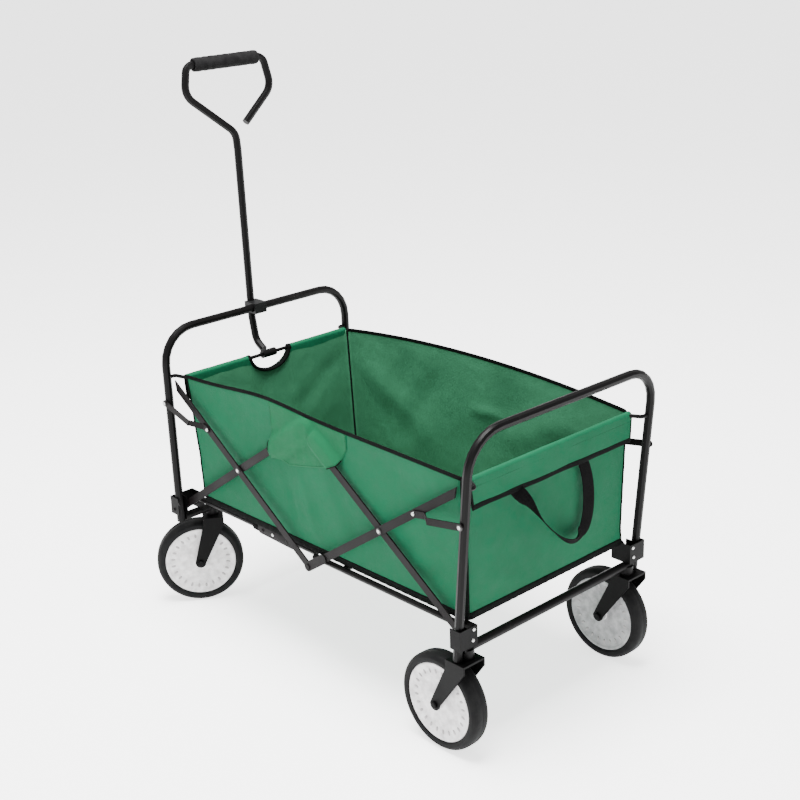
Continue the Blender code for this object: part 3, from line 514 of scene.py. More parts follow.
# ---- Basket walls ----
def rim_height(x, y):
    """Height of the side walls' rim. It bows up between the rods."""
    if y > 0:
        bow = 0.006 * math.cos((x - MID_X) / 0.39 * math.pi / 2)
        bow += 0.0115 * math.exp(-(((x - 0.105) / 0.13) ** 2))
        return 0.5255 + bow
    return 0.523 + 0.023 * max(0.0, 1 - ((x + 0.035) / 0.385) ** 2)


def notch_top(y, top):
    """The front wall's upper edge, lowered by the half-moon notch."""
    if abs(y) >= NOTCH_HALF:
        return top
    return top - NOTCH_DEPTH * math.sqrt(max(0.0, 1 - (y / NOTCH_HALF) ** 2))


def stations():
    """Places round the basket, anticlockwise from above, as (side, share along it, corner angle)."""
    found = []

    def corner(quarter):
        for i in range(1, CORNER_STEPS):
            found.append((f"corner{quarter}", None, 90 * quarter + 90 * i / CORNER_STEPS))

    found.extend(("left", i / SIDE_STEPS, None) for i in range(SIDE_STEPS + 1))
    corner(1)
    found.extend(("rear", i / (2 * HALF_END_STEPS), None) for i in range(2 * HALF_END_STEPS + 1))
    corner(2)
    found.extend(("right", i / SIDE_STEPS, None) for i in range(SIDE_STEPS + 1))
    corner(3)
    inner_half = WALL_HALF[0] - CORNER_R
    edge = NOTCH_HALF / inner_half
    for i in range(HALF_END_STEPS):
        found.append(("front", (lerp(-1, -edge, i / HALF_END_STEPS) + 1) / 2, None))
    for i in range(2 * NOTCH_STEPS + 1):
        found.append(("front", (edge * math.sin(math.pi / 2 * (i / NOTCH_STEPS - 1)) + 1) / 2, None))
    for i in range(1, HALF_END_STEPS + 1):
        found.append(("front", (lerp(edge, 1, i / HALF_END_STEPS) + 1) / 2, None))
    corner(0)
    return found


def flat_place(station, drop):
    """(x, y, outward normal) of a station on the tapered wall. drop is 0 at the rim and 1 at the floor."""
    side, share, angle = station
    front, rear, half = lerp(*WALL_FRONT, drop), lerp(*WALL_REAR, drop), lerp(*WALL_HALF, drop)
    low_x, high_x, inner = rear + CORNER_R, front - CORNER_R, half - CORNER_R
    if side == "left":
        return lerp(high_x, low_x, share), half, Vector((0, 1, 0))
    if side == "right":
        return lerp(low_x, high_x, share), -half, Vector((0, -1, 0))
    if side == "rear":
        return rear, lerp(inner, -inner, share), Vector((-1, 0, 0))
    if side == "front":
        return front, lerp(-inner, inner, share), Vector((1, 0, 0))
    turn = math.radians(angle)
    outward = Vector((math.cos(turn), math.sin(turn), 0))
    centre = Vector((high_x if outward.x > 0 else low_x, inner if outward.y > 0 else -inner, 0))
    place = centre + outward * CORNER_R
    return place.x, place.y, outward


# Soft folds as (start, end, height, width), in (x, z) on the sides and (y, z) on the ends
SIDE_FOLDS = {
    1: (
        ((0.335, 0.5), (0.15, 0.4), 0.003, 0.02),
        ((0.3, 0.3), (0.175, 0.385), -0.0035, 0.018),
        ((0.19, 0.4), (0.12, 0.475), -0.0022, 0.012),
        ((0.02, 0.415), (-0.03, 0.285), 0.003, 0.014),
        ((0.055, 0.405), (0.03, 0.29), -0.0028, 0.012),
        ((-0.08, 0.43), (-0.16, 0.29), -0.0035, 0.02),
        ((-0.12, 0.46), (-0.27, 0.35), 0.004, 0.022),
        ((-0.2, 0.505), (-0.39, 0.43), -0.003, 0.025),
        ((-0.33, 0.3), (-0.23, 0.36), 0.003, 0.016),
        ((-0.395, 0.36), (-0.3, 0.29), -0.003, 0.018),
    ),
    -1: (
        ((0.33, 0.47), (0.09, 0.33), -0.0055, 0.034),
        ((0.16, 0.5), (0.23, 0.33), 0.0045, 0.028),
        ((0.06, 0.5), (0.2, 0.3), 0.005, 0.03),
        ((-0.02, 0.43), (-0.12, 0.435), -0.0035, 0.012),
        ((-0.16, 0.5), (-0.03, 0.33), 0.0042, 0.03),
        ((-0.3, 0.48), (-0.12, 0.38), -0.0045, 0.03),
        ((-0.39, 0.33), (-0.24, 0.42), 0.004, 0.026),
    ),
}
END_FOLDS = {
    1: (
        ((-0.19, 0.47), (-0.05, 0.38), 0.0035, 0.022),
        ((0.19, 0.47), (0.06, 0.36), -0.0035, 0.024),
        ((0.02, 0.48), (0.04, 0.33), 0.003, 0.018),
        ((-0.11, 0.46), (-0.12, 0.3), -0.003, 0.02),
    ),
    -1: (
        ((0.1, 0.47), (0.03, 0.33), -0.0026, 0.022),
        ((-0.05, 0.42), (-0.06, 0.31), 0.0024, 0.02),
        ((-0.17, 0.47), (-0.1, 0.3), 0.0022, 0.026),
        ((0.18, 0.33), (0.06, 0.285), 0.0026, 0.02),
        ((0.02, 0.44), (0.06, 0.4), 0.002, 0.014),
    ),
}


def fold_height(folds, across, z):
    """Sum of the folds' heights at a point. Each fold fades out over its ends."""
    total = 0.0
    here = Vector((across, z))
    for start, end, height, width in folds:
        start, end = Vector(start), Vector(end)
        line = end - start
        share = (here - start).dot(line) / line.length_squared
        near = start + line * min(1.0, max(0.0, share))
        distance = (here - near).length
        fade = smooth_step(-0.15, 0.35, share) * (1 - smooth_step(0.65, 1.15, share))
        total += height * fade * math.exp(-((distance / width) ** 2))
    return total


def wall_place(station, drop):
    """Point and outward normal on the finished wall, with its sag and folds."""
    x, y, outward = flat_place(station, drop)
    side = station[0]
    top = rim_height(x, y) if side in ("left", "right") else ROD_Z
    if side.startswith("corner"):
        blend = abs(outward.y)
        top = lerp(ROD_Z, rim_height(x, y), blend)
    if side == "front":
        top = notch_top(y, ROD_Z)
    z = lerp(top, FLOOR_Z + 0.001, drop)
    held = smooth_step(0, 0.1, drop) * (1 - smooth_step(0.88, 1.0, drop))
    if side in ("left", "right"):
        folds = fold_height(SIDE_FOLDS[1 if y > 0 else -1], x, z)
        limit = 0.003
    elif side in ("front", "rear"):
        folds = fold_height(END_FOLDS[1 if side == "front" else -1], y, z)
        limit = 0.005
    else:
        folds, limit = 0.0, 0.003
    soft = 0.0016 * ripple(x, y, z, 0.085, 3.1) + 0.0006 * ripple(x, y, z, 0.028, 7.7)
    puckers = 0.0006 * math.exp(-(((1 - drop) / 0.05) ** 2)) * math.sin(math.tau * (x + y) / 0.021)
    slack = -0.002 * math.sin(math.pi * drop)
    move = held * (folds + soft + slack) + puckers
    move = min(limit, move)
    return Vector((x, y, z)) + outward * move, outward


all_stations = stations()
station_count = len(all_stations)
wall_vertices = []
for row in range(WALL_ROWS + 1):
    wall_vertices += [wall_place(station, row / WALL_ROWS)[0] for station in all_stations]
wall_faces = grid_faces(WALL_ROWS + 1, station_count, wrap=True, flip=True)
wall_area = cloth_area(wall_vertices, wall_faces)
wall_shell = shell(wall_vertices, wall_faces, CLOTH)
walls = add_mesh("basket_walls", *wall_shell, GREEN, "rear_frame", "basket_fabric")
# The inside faces take the paler copy of the green: painted light
walls.data.materials.append(INNER_GREEN_PAINTED_LIGHT)
for polygon in walls.data.polygons[len(wall_faces) : 2 * len(wall_faces)]:
    polygon.material_index = 1
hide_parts("basket")
soft_pieces = [walls]


def soft(obj):
    soft_pieces.append(obj)
    return obj


def add_tape(name, parts):
    soft(add_mesh(name, *merge(parts), BLACK_TAPE, "rear_frame", "webbing"))


def wall_line(stretch, drop, out, lift):
    """(points, normals) at these stations, moved out of the wall and up."""
    places = [wall_place(station, drop) for station in stretch]
    points = [place + outward * out + Vector((0, 0, lift)) for place, outward in places]
    return points, [outward for _, outward in places]


# Bindings: rim of each side as far as the corners' middles, floor edge all round, and the upright corners
by_side = {}
for station in all_stations:
    by_side.setdefault(station[0], []).append(station)
tape_parts, tape_stitches = [], []
for before, side, after in (("corner0", "left", "corner1"), ("corner2", "right", "corner3")):
    half = CORNER_STEPS // 2
    stretch = by_side[before][-half:] + by_side[side] + by_side[after][:half]
    points, normals = wall_line(stretch, 0.0, -CLOTH / 2, -0.001)
    tape_parts.append(sweep(points, normals, oval(*RIM_TAPE)))
    tape_stitches.append(stitches([p - Vector((0, 0, 0.0022)) for p in points], normals, RIM_TAPE[1]))
add_tape("rim_bindings", tape_parts)

points, normals = wall_line(all_stations, 1.0, -CLOTH / 2 + 0.0004, 0.003)
add_tape("floor_binding", [sweep(points, normals, oval(*FLOOR_TAPE), closed=True)])
tape_stitches.append(stitches([p + Vector((0, 0, 0.0032)) for p in points], normals, FLOOR_TAPE[1] * 0.95))

corner_parts = []
for quarter in range(4):
    middle = (f"corner{quarter}", None, 90 * quarter + 45)
    points, normals = [], []
    for i in range(41):
        place, outward = wall_place(middle, lerp(0.0, 0.985, i / 40))
        points.append(place + outward * 0.0004)
        normals.append(outward)
    corner_parts.append(sweep(points, normals, oval(*CORNER_TAPE)))
    for shift in (-0.0028, 0.0028):
        across = Vector((-normals[0].y, normals[0].x, 0)) * shift
        tape_stitches.append(stitches([p + across for p in points], normals, CORNER_TAPE[1] * 0.97))
add_tape("corner_bindings", corner_parts)


# ---- Hems round the rods, outside flaps and the notch ----
def hem_and_flap(end):
    """The cloth that goes over a rod and hangs down outside, from one side of the wagon to the other."""
    rod_x = FRONT_ROD_X if end > 0 else REAR_ROD_X
    name = "front" if end > 0 else "rear"
    spans = ((-FLAP_HALF, -NOTCH_HALF), (NOTCH_HALF, FLAP_HALF)) if end > 0 else ((-FLAP_HALF, FLAP_HALF),)
    parts = []

    def hung(y, down):
        """A point on the flap: down is 0 at the rod and 1 at its lower edge."""
        taper = 1 - 0.022 * down
        wave_out = 0.0016 * ripple(y, down * 0.05, 0.3 * end, 0.05, 5.0) * smooth_step(0, 0.5, down)
        out = HEM_R + 0.0004 + 0.0012 * down + wave_out
        z = ROD_Z - FLAP_DROP * down + 0.001 * ripple(y, 0, end, 0.07, 9.0) * down
        return Vector((rod_x + end * out, y * taper, z))

    for low, high in spans:
        columns = max(8, int((high - low) / 0.0045))
        rows = []
        for i in range(columns + 1):
            y = lerp(low, high, i / columns)
            strip = [Vector((rod_x - end * (HEM_R - 0.0002), y, ROD_Z - 0.02 + 0.003 * k)) for k in range(5)]
            for k in range(13):
                turn = math.pi * k / 12
                lump = HEM_R + 0.0004 * ripple(y, k * 0.002, end, 0.02, 2.0)
                strip.append(Vector((rod_x - end * lump * math.cos(turn), y, ROD_Z + lump * math.sin(turn))))
            strip += [hung(y, (k + 1) / 10) for k in range(10)]
            rows.append(strip)
        vertices = [p for strip in rows for p in strip]
        parts.append((vertices, grid_faces(len(rows), len(rows[0]), flip=end > 0)))
    if end > 0:
        columns = 28
        rows = []
        for i in range(columns + 1):
            y = lerp(-NOTCH_HALF, NOTCH_HALF, i / columns)
            top = (ROD_Z - notch_top(y, ROD_Z)) / FLAP_DROP
            rows.append([hung(y, lerp(max(top, 0.02), 1.0, k / 8)) for k in range(9)])
        parts.append(([p for strip in rows for p in strip], grid_faces(len(rows), 9, flip=True)))
    vertices, faces = merge(parts)
    area = cloth_area(vertices, faces)
    hem = shell(vertices, faces, HEM_CLOTH)
    cloth = soft(add_mesh(f"{name}_hem", *hem, GREEN, "rear_frame", "basket_fabric"))
    outward = Vector((end, 0, 0))
    across = [lerp(-FLAP_HALF, FLAP_HALF, i / FLAP_STEPS) for i in range(FLAP_STEPS + 1)]
    edge = [hung(y, 1.0) + Vector((0, 0, 0.001)) - outward * 0.0005 for y in across]
    normals = [outward] * len(edge)
    tapes = [sweep(edge, normals, oval(*FLAP_TAPE))]
    tape_stitches.append(stitches([p + Vector((0, 0, 0.0016)) for p in edge], normals, FLAP_TAPE[1] * 0.97))
    for side in (-1, 1):
        side_edge = [hung(side * FLAP_HALF, k / 12) for k in range(13)]
        side_edge = [p + Vector((-end * 0.0004, -side * 0.0012, 0)) for p in side_edge]
        tapes.append(sweep(side_edge, [outward] * 13, oval(0.0026, 0.0015)))
    if end < 0:
        tack = [Vector((rod_x + end * (HEM_R + 0.001), y * 0.99, ROD_Z - 0.0105)) for y in across]
        tape_stitches.append(stitches(tack, normals, 0.0004))
    add_tape(f"{name}_flap_binding", tapes)
    return cloth, area


rear_hem, rear_hem_area = hem_and_flap(-1)
front_hem, front_hem_area = hem_and_flap(1)

# The black tape round the notch, over both layers, and a collar of it round the hem at each side
COLLAR_R = 0.0064
NOTCH_TAPE_STEPS = 48
COLLAR_STEPS = 24
notch_path = []
for i in range(NOTCH_TAPE_STEPS + 1):
    turn = math.pi * i / NOTCH_TAPE_STEPS
    z = ROD_Z + 0.004 - (NOTCH_DEPTH + 0.003) * math.sin(turn)
    wall_x = lerp(*WALL_FRONT, max(0.0, (ROD_Z - z) / (ROD_Z - FLOOR_Z)))
    notch_path.append(Vector((wall_x + 0.0018, NOTCH_HALF * math.cos(turn), z)))
collar_parts = [sweep(notch_path, [Vector((1, 0, 0))] * len(notch_path), oval(0.0034, 0.0062, 14, 0.7))]
for side in (-1, 1):
    turns = [math.tau * i / COLLAR_STEPS for i in range(COLLAR_STEPS)]
    outwards = [Vector((math.cos(turn), 0, math.sin(turn))) for turn in turns]
    middle = Vector((FRONT_ROD_X, side * (NOTCH_HALF + 0.0015), ROD_Z))
    ring = [middle + outward * COLLAR_R for outward in outwards]
    collar_parts.append(sweep(ring, outwards, oval(0.0034, 0.0009), closed=True))
add_tape("notch_binding", collar_parts)


# ---- Side pockets over the bars' upper ends ----
POCKET_REACH = (-0.133, 0.088)
POCKET_FLOOR = (  # lower edge as (x, z), from the rear
    (-0.133, 0.5),
    (-0.112, 0.464),
    (-0.076, 0.446),
    (-0.03, 0.434),
    (0.0398, 0.418),
    (0.08, 0.427),
    (0.088, 0.44),
)
FRONT_MOUTH_Z = (0.438, 0.462)  # where the bars go into the pocket
REAR_MOUTH_X = (-0.118, -0.08)
POCKET_COLUMNS = 72
POCKET_ROWS = 30
BAR_COVER_Y = 0.2282  # outer face of the cloth over a bar
BAR_COVER_WIDTH = 0.03


def pocket_floor(x):
    for (x0, z0), (x1, z1) in zip(POCKET_FLOOR, POCKET_FLOOR[1:]):
        if x <= x1:
            return lerp(z0, z1, (x - x0) / (x1 - x0))
    return POCKET_FLOOR[-1][1]


def bar_distance(x, z):
    """Distance from a point on the side to the nearer of the two bars whose tops are in the pocket."""
    here = Vector((x, z))
    nearest = 1.0
    for end in (-1, 1):
        foot, top = Vector((MID_X + end * BAR_HALF_SPAN, PIVOT_Z)), Vector((MID_X, TOP_HINGE_Z))
        if end < 0:
            top = top + (foot - top).normalized() * 0.034
        line = top - foot
        share = min(1.0, max(0.0, (here - foot).dot(line) / line.length_squared))
        nearest = min(nearest, (here - foot - line * share).length)
    return nearest


def wall_y_at(x, z, side):
    """The side wall's distance from the middle plane, with its folds."""
    rim = rim_height(x, side)
    drop = (rim - z) / (rim - FLOOR_Z)
    share = (x - (WALL_REAR[0] + CORNER_R)) / (WALL_FRONT[0] - WALL_REAR[0] - 2 * CORNER_R)
    station = ("left", 1 - share, None) if side > 0 else ("right", share, None)
    return abs(wall_place(station, drop)[0].y)


for side, side_name in ((1, "left"), (-1, "right")):
    rows = []
    for i in range(POCKET_COLUMNS + 1):
        x = lerp(*POCKET_REACH, i / POCKET_COLUMNS)
        low, high = pocket_floor(x), rim_height(x, side) - 0.004
        strip = []
        for k in range(POCKET_ROWS + 1):
            share = k / POCKET_ROWS
            z = lerp(low, high, share)
            base = wall_y_at(x, z, side) + 0.0009
            cover = 1 - smooth_step(0.01, BAR_COVER_WIDTH, bar_distance(x, z))
            cover *= 1 - smooth_step(0.93, 1.0, share)
            crumple = 0.0011 * ripple(x, side, z, 0.03, 4.4) + 0.0005 * ripple(x, side, z, 0.011, 8.8)
            crease = math.exp(-(((x - 0.012 + (z - 0.45) * 0.25) / 0.011) ** 2))
            crumple += 0.0016 * crease * smooth_step(0.0, 0.4, 1 - share)
            fade = smooth_step(0, 0.15, share) * (1 - smooth_step(0.9, 1.0, share))
            out = max(base + crumple * fade + 0.0003, lerp(base, BAR_COVER_Y + crumple * fade * 0.5, cover))
            strip.append(Vector((x, side * out, z)))
        rows.append(strip)
    vertices = [p for strip in rows for p in strip]
    faces = grid_faces(len(rows), POCKET_ROWS + 1, flip=side < 0)
    pocket = shell(vertices, faces, POCKET_CLOTH)
    cloth = soft(add_mesh(f"{side_name}_pocket", *pocket, PATCH_GREEN, "rear_frame", "basket_fabric"))
    cloth_area(vertices, faces)
    out = Vector((0, side, 0))
    lower_edge = [strip[0] for strip in rows]
    for seam, inset in ((lower_edge, (0, 0, 0.003)), (rows[0], (0.003, 0, 0)), (rows[-1], (-0.003, 0, 0))):
        seam = [p + Vector(inset) for p in seam]
        tape_stitches.append(stitches(seam, [out] * len(seam), 0.0003, radius=0.0003))
    mouth_parts = []
    front_mouth = [p for p in rows[-1] if FRONT_MOUTH_Z[0] < p.z < FRONT_MOUTH_Z[1]]
    rear_mouth = [p for p in lower_edge if REAR_MOUTH_X[0] < p.x < REAR_MOUTH_X[1]]
    for mouth in (front_mouth, rear_mouth):
        mouth = [p - out * 0.0003 for p in mouth]
        mouth_parts.append(sweep(mouth, [out] * len(mouth), oval(0.0011, 0.0007, 10)))
    add_tape(f"{side_name}_pocket_mouths", mouth_parts)

soft(add_mesh("stitching", *merge(tape_stitches), THREAD, "rear_frame", "basket_fabric", smooth=False))

# ---- Carry strap ----
STRAP_HALF = 0.0125
STRAP_KNOTS = (  # (y, z, turn of the webbing about its length in degrees)
    (0.113, 0.496, 0),
    (0.101, 0.476, 0),
    (0.09, 0.458, 32),
    (0.076, 0.437, 82),
    (0.057, 0.413, 104),
    (0.029, 0.382, 112),
    (0.0, 0.355, 96),
    (-0.03, 0.336, 62),
    (-0.056, 0.329, 20),
    (-0.075, 0.337, -6),
    (-0.085, 0.357, -12),
    (-0.089, 0.386, -14),
    (-0.088, 0.42, -12),
    (-0.082, 0.456, -6),
    (-0.071, 0.496, 0),
)
STRAP_X = REAR_ROD_X - 0.001  # the strap's inner edge, clear of the panel
STRAP_TUCKED_X = REAR_ROD_X - 0.0034  # its ends, between the panel and the flap
STRAP_STEPS = 8


def curve_through(points, steps):
    """A smooth curve through the points, as evenly shared Catmull-Rom pieces."""
    padded = [points[0] * 2 - points[1], *points, points[-1] * 2 - points[-2]]
    found = []
    for a, b, c, d in zip(padded, padded[1:], padded[2:], padded[3:]):
        for i in range(steps):
            t = i / steps
            bend, turn = a * 2 - b * 5 + c * 4 - d, b * 3 - a - c * 3 + d
            found.append((b * 2 + (c - a) * t + bend * t * t + turn * t**3) / 2)
    found.append(points[-1])
    return found


strap_curve = curve_through([Vector((y, z, turn)) for y, z, turn in STRAP_KNOTS], STRAP_STEPS)
strap_path, strap_normals = [], []
for i, knot in enumerate(strap_curve):
    turn = math.radians(knot.z)
    before, after = strap_curve[max(i - 1, 0)], strap_curve[min(i + 1, len(strap_curve) - 1)]
    along = Vector((0, after.x - before.x, after.y - before.y)).normalized()
    flat_normal = Vector((-1, 0, 0))
    across = along.cross(flat_normal)
    strap_normals.append(flat_normal * math.cos(turn) + across * math.sin(turn))
    stand_off = STRAP_HALF * abs(math.sin(turn)) + 0.0018 + 0.004 * smooth_step(0.0, 0.06, 0.492 - knot.y)
    under_flap = smooth_step(ROD_Z - FLAP_DROP - 0.012, ROD_Z - FLAP_DROP + 0.006, knot.y)
    strap_path.append(Vector((lerp(STRAP_X - stand_off, STRAP_TUCKED_X, under_flap), knot.x, knot.y)))
strap_part = sweep(strap_path, strap_normals, oval(STRAP_HALF, 0.0008, 16, 0.45))
strap = soft(add_mesh("carry_webbing", *strap_part, STRAP_BLACK, "rear_frame", "webbing"))
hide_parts("carry_strap")

# ---- Floor mats, which fold up with the floor frame ----
MAT_HALF = 0.2085
MAT_THICK = 0.0042
MAT_EDGE = 0.008
MAT_CORNER_R = 0.014
MAT_CLEAR = (0.0005, 0.004)  # from the middle of the wagon, and from the end walls
MAT_COLUMNS, MAT_ROWS = 64, 60
QUILT_STEP = 0.118
for end, name, wall_x in ((1, "front", WALL_FRONT[1]), (-1, "rear", WALL_REAR[1])):
    near_x, far_x = MID_X + end * MAT_CLEAR[0], wall_x - end * MAT_CLEAR[1]
    low_x, high_x = min(near_x, far_x), max(near_x, far_x)
    vertices = []
    for i in range(MAT_COLUMNS + 1):
        x = lerp(low_x, high_x, (1 - math.cos(math.pi * i / MAT_COLUMNS)) / 2)
        into_corner = max(0.0, MAT_CORNER_R - abs(far_x - x))
        half = MAT_HALF - MAT_CORNER_R + math.sqrt(MAT_CORNER_R**2 - into_corner**2)
        quilt = 0.0009 * abs(math.sin(math.pi * (x - low_x) / QUILT_STEP)) ** 0.4
        for k in range(MAT_ROWS + 1):
            y = lerp(-half, half, k / MAT_ROWS)
            edge = min(x - low_x, high_x - x, y + half, half - y)
            crown = math.sqrt(smooth_step(-0.001, MAT_EDGE, edge))
            swell = MAT_THICK - 0.0016 + quilt + 0.0005 * ripple(x, y, 0, 0.04, 6.0)
            vertices.append(Vector((x, y, FLOOR_Z + 0.0006 + swell * crown)))
    under = [Vector((p.x, p.y, FLOOR_Z + 0.0001)) for p in vertices]
    part = thickened(vertices, grid_faces(MAT_COLUMNS + 1, MAT_ROWS + 1), under)
    # The mats take the paler inside copy of the green: painted light
    mat = add_mesh(f"{name}_floor_mat", *part, INNER_GREEN_PAINTED_LIGHT, f"{name}_floor", "basket_fabric")


# ---- Wheels ----
def tyre_part():
    """Solid tyre: flat tread with round shoulders, a bead line on each side and a lip over the disc."""
    half = [
        (DISC_R - 0.0006, 0.0), (DISC_R - 0.0006, DISC_HALF + 0.0002),
        (DISC_R + 0.0004, DISC_HALF + 0.0012), (DISC_R + 0.0016, TYRE_HALF - 0.0016),
        (DISC_R + 0.003, TYRE_HALF - 0.0006), (DISC_R + 0.0052, TYRE_HALF - 0.0001),
        (DISC_R + 0.0064, TYRE_HALF - 0.0006), (DISC_R + 0.0072, TYRE_HALF - 0.0001),
        (DISC_R + 0.0094, TYRE_HALF - 0.0006), (DISC_R + 0.0118, TYRE_HALF - 0.002),
        (TYRE_R - 0.003, TYRE_HALF - 0.004), (TYRE_R - 0.0013, TYRE_HALF - 0.0068),
        (TYRE_R - 0.0004, TYRE_HALF - 0.01), (TYRE_R - 0.0001, TYRE_HALF - 0.013), (TYRE_R, 0.0006),
        (TYRE_R - 0.0002, 0.0),
    ]
    mirrored = [(radius, -y) for radius, y in half[::-1][1:-1]]
    return lathe(half + mirrored, 128)


def disc_part():
    """Moulded disc: raised rim ring, dished face, a shallow step and a hub boss round the axle."""
    half = [
        (0.0048, 0.0), (0.0048, 0.0168), (0.0062, 0.0172), (0.0105, 0.0172), (0.012, 0.016),
        (0.0128, 0.0128), (0.016, 0.0118), (0.026, 0.0116), (0.04, 0.0122), (0.052, 0.0134),
        (0.06, 0.0143), (0.0668, 0.0149), (0.0686, 0.016), (0.07, 0.0168), (0.0728, 0.017),
        (DISC_R - 0.0008, 0.0164), (DISC_R - 0.0001, 0.0148), (DISC_R - 0.0001, 0.0),
    ]
    mirrored = [(radius, -y) for radius, y in half[::-1][1:-1]]
    return lathe(half + mirrored, 128)


PIP_COUNT = 24
PIP_RING = 0.059
PIP_R = 0.0025
PIP_STRETCH = 2.0  # each pip is this much longer along the radius


def pips_part():
    """A ring of small raised pips near the disc's edge, on both faces."""
    profile = [(0.0, -0.001), (PIP_R, -0.0008), (PIP_R, 0.0001), (PIP_R * 0.8, 0.0006), (0.0, 0.0007)]
    bead = lathe(profile, 10)
    parts = []
    for face in (-1, 1):
        for i in range(PIP_COUNT):
            turn = math.tau * (i + 0.5) / PIP_COUNT
            place = (PIP_RING * math.cos(turn), face * 0.01425, PIP_RING * math.sin(turn))
            matrix = Matrix.Translation(place) @ Matrix.Rotation(-turn, 4, "Y")
            matrix = matrix @ Matrix.Rotation(0.0 if face > 0 else math.pi, 4, "X")
            parts.append(placed(bead, matrix @ Matrix.Diagonal((PIP_STRETCH, 1, 1, 1))))
    return merge(parts)


def hub_of(name):
    low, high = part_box(f"{name}_tyre")
    return (Vector(low) + Vector(high)) / 2


FRONT_TURN_Y = {"left": Vector((-0.8251, 0.565, 0)), "right": Vector((0.8251, 0.565, 0))}
for end in ("front", "rear"):
    for side in ("left", "right"):
        name = f"{end}_{side}"
        axis = FRONT_TURN_Y[side] if end == "front" else Vector((0, 1, 0))
        place = axis_matrix(hub_of(name), axis)
        tyre = add_mesh(f"{name}_tyre_detail", *placed(tyre_part(), place), RUBBER, f"{name}_wheel", "tyres")
        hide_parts(f"{name}_tyre")
        disc_piece = placed(disc_part(), place)
        disc = add_mesh(f"{name}_disc_detail", *disc_piece, DISC_WHITE, f"{name}_wheel", "wheel_discs")
        # Faces turned in towards the wagon take the darker copy: painted shade
        disc.data.materials.append(DISC_PAINTED_SHADE)
        outward = axis if side == "left" else -axis
        for polygon in disc.data.polygons:
            if polygon.normal.dot(outward) < -0.3:
                polygon.material_index = 1
        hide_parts(f"{name}_rim")
        add_mesh(f"{name}_disc_pips", *placed(pips_part(), place), PIP_GREY, f"{name}_wheel", "wheel_discs")

# ---- Foam grip ----
grip_low, grip_high = (Vector(corner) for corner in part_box("handle_grip"))
grip_middle, grip_half = (grip_low + grip_high) / 2, (grip_high.y - grip_low.y) / 2
GRIP_R = 0.0143
GRIP_BORE = 0.0081
grip_end = [
    (GRIP_BORE, grip_half - 0.001),
    (GRIP_R - 0.003, grip_half),
    (GRIP_R - 0.0008, grip_half - 0.0018),
]
grip_profile = [(radius, -y) for radius, y in grip_end]
for i in range(33):
    y = lerp(-grip_half + 0.005, grip_half - 0.005, i / 32)
    grip_profile.append((GRIP_R - 0.0003 + 0.0003 * math.sin(i * 1.7) - 0.0005 * (i % 8 == 4), y))
grip_profile += grip_end[::-1]
grip_part = placed(lathe(grip_profile, 48), Matrix.Translation(grip_middle))
grip = add_mesh("foam_grip", *grip_part, FOAM, "handle", "grip_foam")
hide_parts("handle_grip")


# ---- Rivets, bolts and small fittings ----
def rivet(place, axis, radius, height):
    """A domed head whose flat back is at this place."""
    rise = height - 0.0005
    profile = [(0.0, -0.0006), (radius, -0.0006), (radius, 0.0005)]
    for turn in (25, 50, 70):
        angle = math.radians(turn)
        profile.append((radius * math.cos(angle), 0.0005 + rise * math.sin(angle)))
    profile.append((0.0, height))
    return placed(lathe(profile, 24), axis_matrix(place, axis))


LINK_JOINTS = {"front": (0.2773, 0.4339), "rear": (-0.3161, 0.4339)}
LINK_FACE_Y = 0.232
for end, (x, z) in LINK_JOINTS.items():
    heads = [rivet((x, side * LINK_FACE_Y, z), (0, side, 0), 0.0038, 0.0022) for side in (-1, 1)]
    add_mesh(f"{end}_link_rivets", *merge(heads), STEEL, f"{end}_links", "fasteners")

RAIL_PLATE = ((0.052, 0.248), (0.148, 0.251))  # ends of the plate on each front rail, as (x, z)
RAIL_PLATE_HALF = 0.01
RAIL_Y = 0.2035
RAIL_FACE_Y = RAIL_Y + 0.006
PLATE_LAYERS = ((0.94, 0.0), (1.0, 0.0004), (1.0, 0.0022), (0.94, 0.0026))  # (scale, height) of its outline
PLATE_RIVETS_X = (0.066, 0.11, 0.142)
BRIGHT_RIVET_X = 0.11  # the others are painted
RAIL_LOOP = (0.166, 0.251)
LOOP_STEPS = 28
plate_parts, plate_rivets, loops = [], [], []
for side in (-1, 1):
    outline = []
    for (x, z), turns in zip(RAIL_PLATE, (range(90, 271, 20), range(-90, 91, 20))):
        for turn in turns:
            angle = math.radians(turn)
            outline.append((x + RAIL_PLATE_HALF * math.cos(angle), z + RAIL_PLATE_HALF * math.sin(angle)))
    size = len(outline)
    mid_x, mid_z = sum(x for x, _ in outline) / size, sum(z for _, z in outline) / size
    vertices = []
    for scale, out in PLATE_LAYERS:
        scale_x = 1 - (1 - scale) * 0.25
        for x, z in outline:
            place = (mid_x + (x - mid_x) * scale_x, side * (RAIL_FACE_Y + out), mid_z + (z - mid_z) * scale)
            vertices.append(Vector(place))
    faces = grid_faces(len(PLATE_LAYERS), size, wrap=True)
    faces += [tuple(range(size))[::-1], tuple(3 * size + i for i in range(size))]
    plate_parts.append((vertices, faces if side < 0 else [face[::-1] for face in faces]))
    for x in PLATE_RIVETS_X:
        kept_in = plate_rivets if x == BRIGHT_RIVET_X else plate_parts
        kept_in.append(rivet((x, side * (RAIL_FACE_Y + 0.0026), 0.25), (0, side, 0), 0.0036, 0.0018))
    middle = Vector((RAIL_LOOP[0], side * RAIL_Y, RAIL_LOOP[1]))
    ring = []
    for i in range(LOOP_STEPS):
        turn = math.tau * i / LOOP_STEPS
        ring.append(middle + Vector((0, 0.0085 * math.cos(turn), 0.0105 * math.sin(turn))))
    loops.append(sweep(ring, [(p - middle).normalized() for p in ring], oval(0.0075, 0.0007), closed=True))
